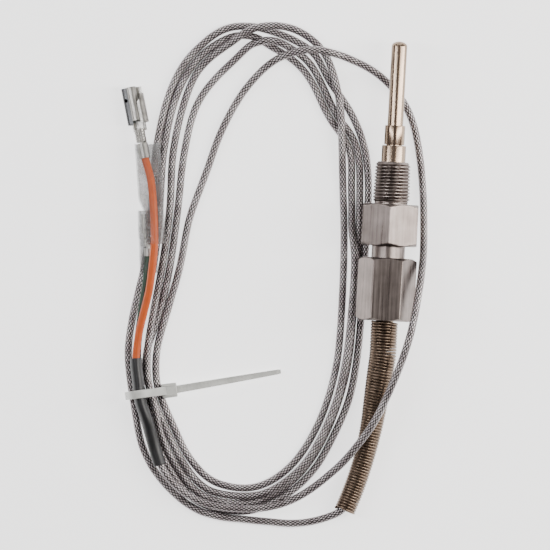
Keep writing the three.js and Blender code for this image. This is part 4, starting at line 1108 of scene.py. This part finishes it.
def orange_terminal_parts():
    place = aimed(ORANGE_TERMINAL_FROM, ORANGE_TERMINAL_TO, ORANGE_TERMINAL_ROLL)
    length = float(np.linalg.norm(np.subtract(ORANGE_TERMINAL_TO, ORANGE_TERMINAL_FROM)))
    sheet = 0.42
    low = -1.4
    back = length - 10.6
    parts = []
    base = [(-2.7, low), (-1.2, low), (0.6, low), (2.4, low)]
    parts.append(bent_sheet("plate", base, sheet, back, length - 0.1, place))
    left = [(-1.2, 0.75), (-2.0, 0.8), (-2.6, 0.6), (-2.88, 0.0), (-2.85, -0.8), (-2.5, -1.3), (-1.8, low)]
    parts.append(bent_sheet("left_roll", left, sheet, back, length, place))
    right = [
        (-0.95, 0.3), (-1.0, 0.9), (-0.6, 1.35), (0.1, 1.42), (0.75, 1.15), (1.1, 0.5),
        (1.1, -0.3), (0.8, -1.0), (0.2, low),
    ]
    parts.append(bent_sheet("right_roll", right, sheet, back + 0.9, length, place))

    def ear_front(share):
        return length - 2.3 - 2.2 * (1 - smoothstep(share, 0.0, 0.45))

    ear = [(1.25, 1.15), (1.9, 1.2), (2.5, 0.95), (2.85, 0.35), (2.88, -0.4), (2.7, -1.1), (2.2, low)]
    parts.append(bent_sheet("ear", ear, sheet, back, ear_front, place, 10))
    neck = [
        (-1.7, -0.3), (-1.75, -0.9), (-1.3, -1.35), (0.0, low - 0.05), (1.3, -1.35), (1.75, -0.9),
        (1.7, -0.3),
    ]

    parts.append(bent_sheet("neck", neck, sheet, 8.0, back + 0.6, place))
    parts.append(crimp("wire_crimp", WIRE_CRIMP_RADIUS, 4.8, 8.4, place, sheet, True, True))
    parts.append(crimp("insulation_crimp", INSULATION_CRIMP_RADIUS, 0.0, 4.3, place, 0.36, False))
    strip = [(-0.9, -1.45), (0.0, -1.5), (0.9, -1.45)]
    parts.append(bent_sheet("strip", strip, 0.3, 4.0, 5.1, place))
    hole = cylinder("hole", place([-2.0, length - 3.6, 0.0]), place([-2.0, length - 3.6, 2.2]), 0.55)
    cut(parts[1], hole)
    return parts


def cylinder(name, start, end, radius, sides=24):
    path = np.linspace(np.asarray(start, float), np.asarray(end, float), 3)
    piece = tube(name, path, radius, sides)
    outward(piece.data)
    return piece


def cut(piece, tool):
    """Takes the tool's shape out of a piece, and removes the tool."""
    modifier = piece.modifiers.new("cut", "BOOLEAN")
    modifier.operation = "DIFFERENCE"
    modifier.solver = "EXACT"
    modifier.object = tool
    bpy.context.view_layer.objects.active = piece
    bpy.ops.object.modifier_apply(modifier=modifier.name)
    bpy.data.objects.remove(tool, do_unlink=True)
    crease(piece, 35)


def green_terminal_parts():
    place = aimed(GREEN_TERMINAL_FROM, GREEN_TERMINAL_TO)
    length = float(np.linalg.norm(np.subtract(GREEN_TERMINAL_TO, GREEN_TERMINAL_FROM)))
    back = length - 5.6
    channel = [
        (-0.4, 0.85), (-1.2, 0.9), (-1.65, 0.5), (-1.7, -0.5), (-1.5, -1.1), (-0.6, -1.2), (0.6, -1.2),
        (1.5, -1.1), (1.7, -0.5), (1.65, 0.5), (1.2, 0.9), (0.4, 0.85),
    ]
    neck = [(-1.2, -0.3), (-1.1, -0.9), (0.0, -1.15), (1.1, -0.9), (1.2, -0.3)]
    return [
        bent_sheet("channel", channel[::-1], 0.3, back, length, place),
        bent_sheet("neck", neck, 0.3, 4.6, back + 0.5, place),
        crimp("wire_crimp", 1.15, 2.8, 5.0, place, 0.3, True, True),
        crimp("insulation_crimp", 1.22, 0.0, 2.3, place, 0.26, False),
    ]


terminal_parts = orange_terminal_parts()
# The left roll takes the shaded copy of the tin, which is painted shade.
for part in terminal_parts:
    part.data.materials.clear()
    part.data.materials.append(shaded_tin if part.name.startswith("left_roll") else tin_plate)
orange_terminal = joined(terminal_parts, "orange_connector")
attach(orange_terminal, "sensor")
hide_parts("orange_terminal")
green_terminal = joined(green_terminal_parts(), "green_connector")
dress(green_terminal, "sensor", tin_plate, "green_terminal", slot="tinned_brass")

ORANGE_COVER_ROUTE = [
    (-66.2, -15.0, 9.4), (-66.8, -10.0, 9.2), (-67.4, -5.4, 9.0), (-68.3, -1.7, 8.2), (-69.3, 6.0, 6.7),
    (-70.3, 13.6, 5.2),
]
GREEN_COVER_ROUTE = [
    (-67.8, -23.4, 4.65), (-68.2, -18.6, 4.65), (-68.5, -14.0, 4.65), (-68.7, -11.1, 4.65),
    (-69.1, -5.6, 4.65),
]
COVER_WALL = 0.4


def orange_section(share, inset):
    wide = smoothstep(share, 0.3, 0.48)
    width = 5.6 + (7.3 - 5.6) * wide - 2 * inset
    height = 4.0 + (4.9 - 4.0) * wide - 2 * inset
    return stadium(width, height)


def green_section(share, inset):
    wide = smoothstep(share, 0.5, 0.62)
    return stadium(5.2 + 0.5 * wide - 2 * inset, 3.8 - 2 * inset)


orange_cover = swept("orange_boot", ORANGE_COVER_ROUTE, 0.5, orange_section, COVER_WALL)
dress(orange_cover, "orange_cover", vinyl, "orange_terminal_cover", slot="clear_plastic")
green_cover = swept("green_boot", GREEN_COVER_ROUTE, 0.5, green_section, COVER_WALL)
dress(green_cover, "green_cover", vinyl, "green_terminal_cover", slot="clear_plastic")

# ----- CAD pieces that keep their own meshes

KEPT = {
    "hot_junction": nickel_alloy,
    "thermoelement_positive": nickel_alloy, "thermoelement_negative": nickel_alloy,
    "insulator": ceramic, "cement_seal": ceramic, "cable_anchor": nickel_alloy,
    "front_ferrule": turned_steel, "back_ferrule": turned_steel,
    "orange_core": nickel_alloy, "green_core": nickel_alloy,
}
for node_name, material in KEPT.items():
    for material_slot in bpy.data.objects[node_name].material_slots:
        material_slot.material = material

# ----- light, floor


def area_light(name, location, target, size, power, colour=(1, 1, 1)):
    data = bpy.data.lights.new(name, "AREA")
    data.shape = "RECTANGLE"
    data.size, data.size_y = size
    data.energy = power
    data.color = colour
    light = bpy.data.objects.new(name, data)
    bpy.context.scene.collection.objects.link(light)
    light.location = metres(location)
    direction = Vector(metres(target)) - light.location
    light.rotation_euler = direction.to_track_quat("-Z", "Y").to_euler()
    return light


MIDDLE = (-31.9, -22.0, 0.0)
area_light("key", (440, 60, 340), MIDDLE, (0.10, 0.7), 4.2, (1.0, 0.97, 0.93))
area_light("fill", (-400, 60, 480), MIDDLE, (0.05, 0.5), 1.6, (0.98, 0.98, 1.0))
area_light("back", (-40, 460, 240), MIDDLE, (0.5, 0.12), 0.7)

world = bpy.data.worlds.new("studio")
bpy.context.scene.world = world
world.use_nodes = True
background = world.node_tree.nodes["Background"]
background.inputs["Color"].default_value = (0.82, 0.76, 0.74, 1)
background.inputs["Strength"].default_value = 0.3

FLOOR_HALF = 1.5
FLOOR_GLOW = 1.6      # emission that keeps the floor pale
floor_mesh = bpy.data.meshes.new("floor")
floor_mesh.from_pydata([
    (-FLOOR_HALF, -FLOOR_HALF, 0), (FLOOR_HALF, -FLOOR_HALF, 0),
    (FLOOR_HALF, FLOOR_HALF, 0), (-FLOOR_HALF, FLOOR_HALF, 0),
], [], [(0, 1, 2, 3)])
floor = new_object("floor", floor_mesh)
floor_paint = Nodes("floor_paint")
floor_mesh.materials.append(floor_paint.set(
    Base_Color=(0.92, 0.92, 0.92, 1), Roughness=0.9, Emission_Color=(1, 1, 1, 1), Emission_Strength=FLOOR_GLOW,
))

# ----- the stem's back end, the cable's path and the leads' starts and paths in metres, worked out and left unused

metres([0, -40.1, AXIS_HEIGHT]).tolist()
metres(cable_path[::8]).tolist()
metres(ORANGE_LEAD_ROUTE[0]).tolist()
metres(orange_path[::6]).tolist()
metres(GREEN_LEAD_ROUTE[0]).tolist()
metres(green_path[::6]).tolist()
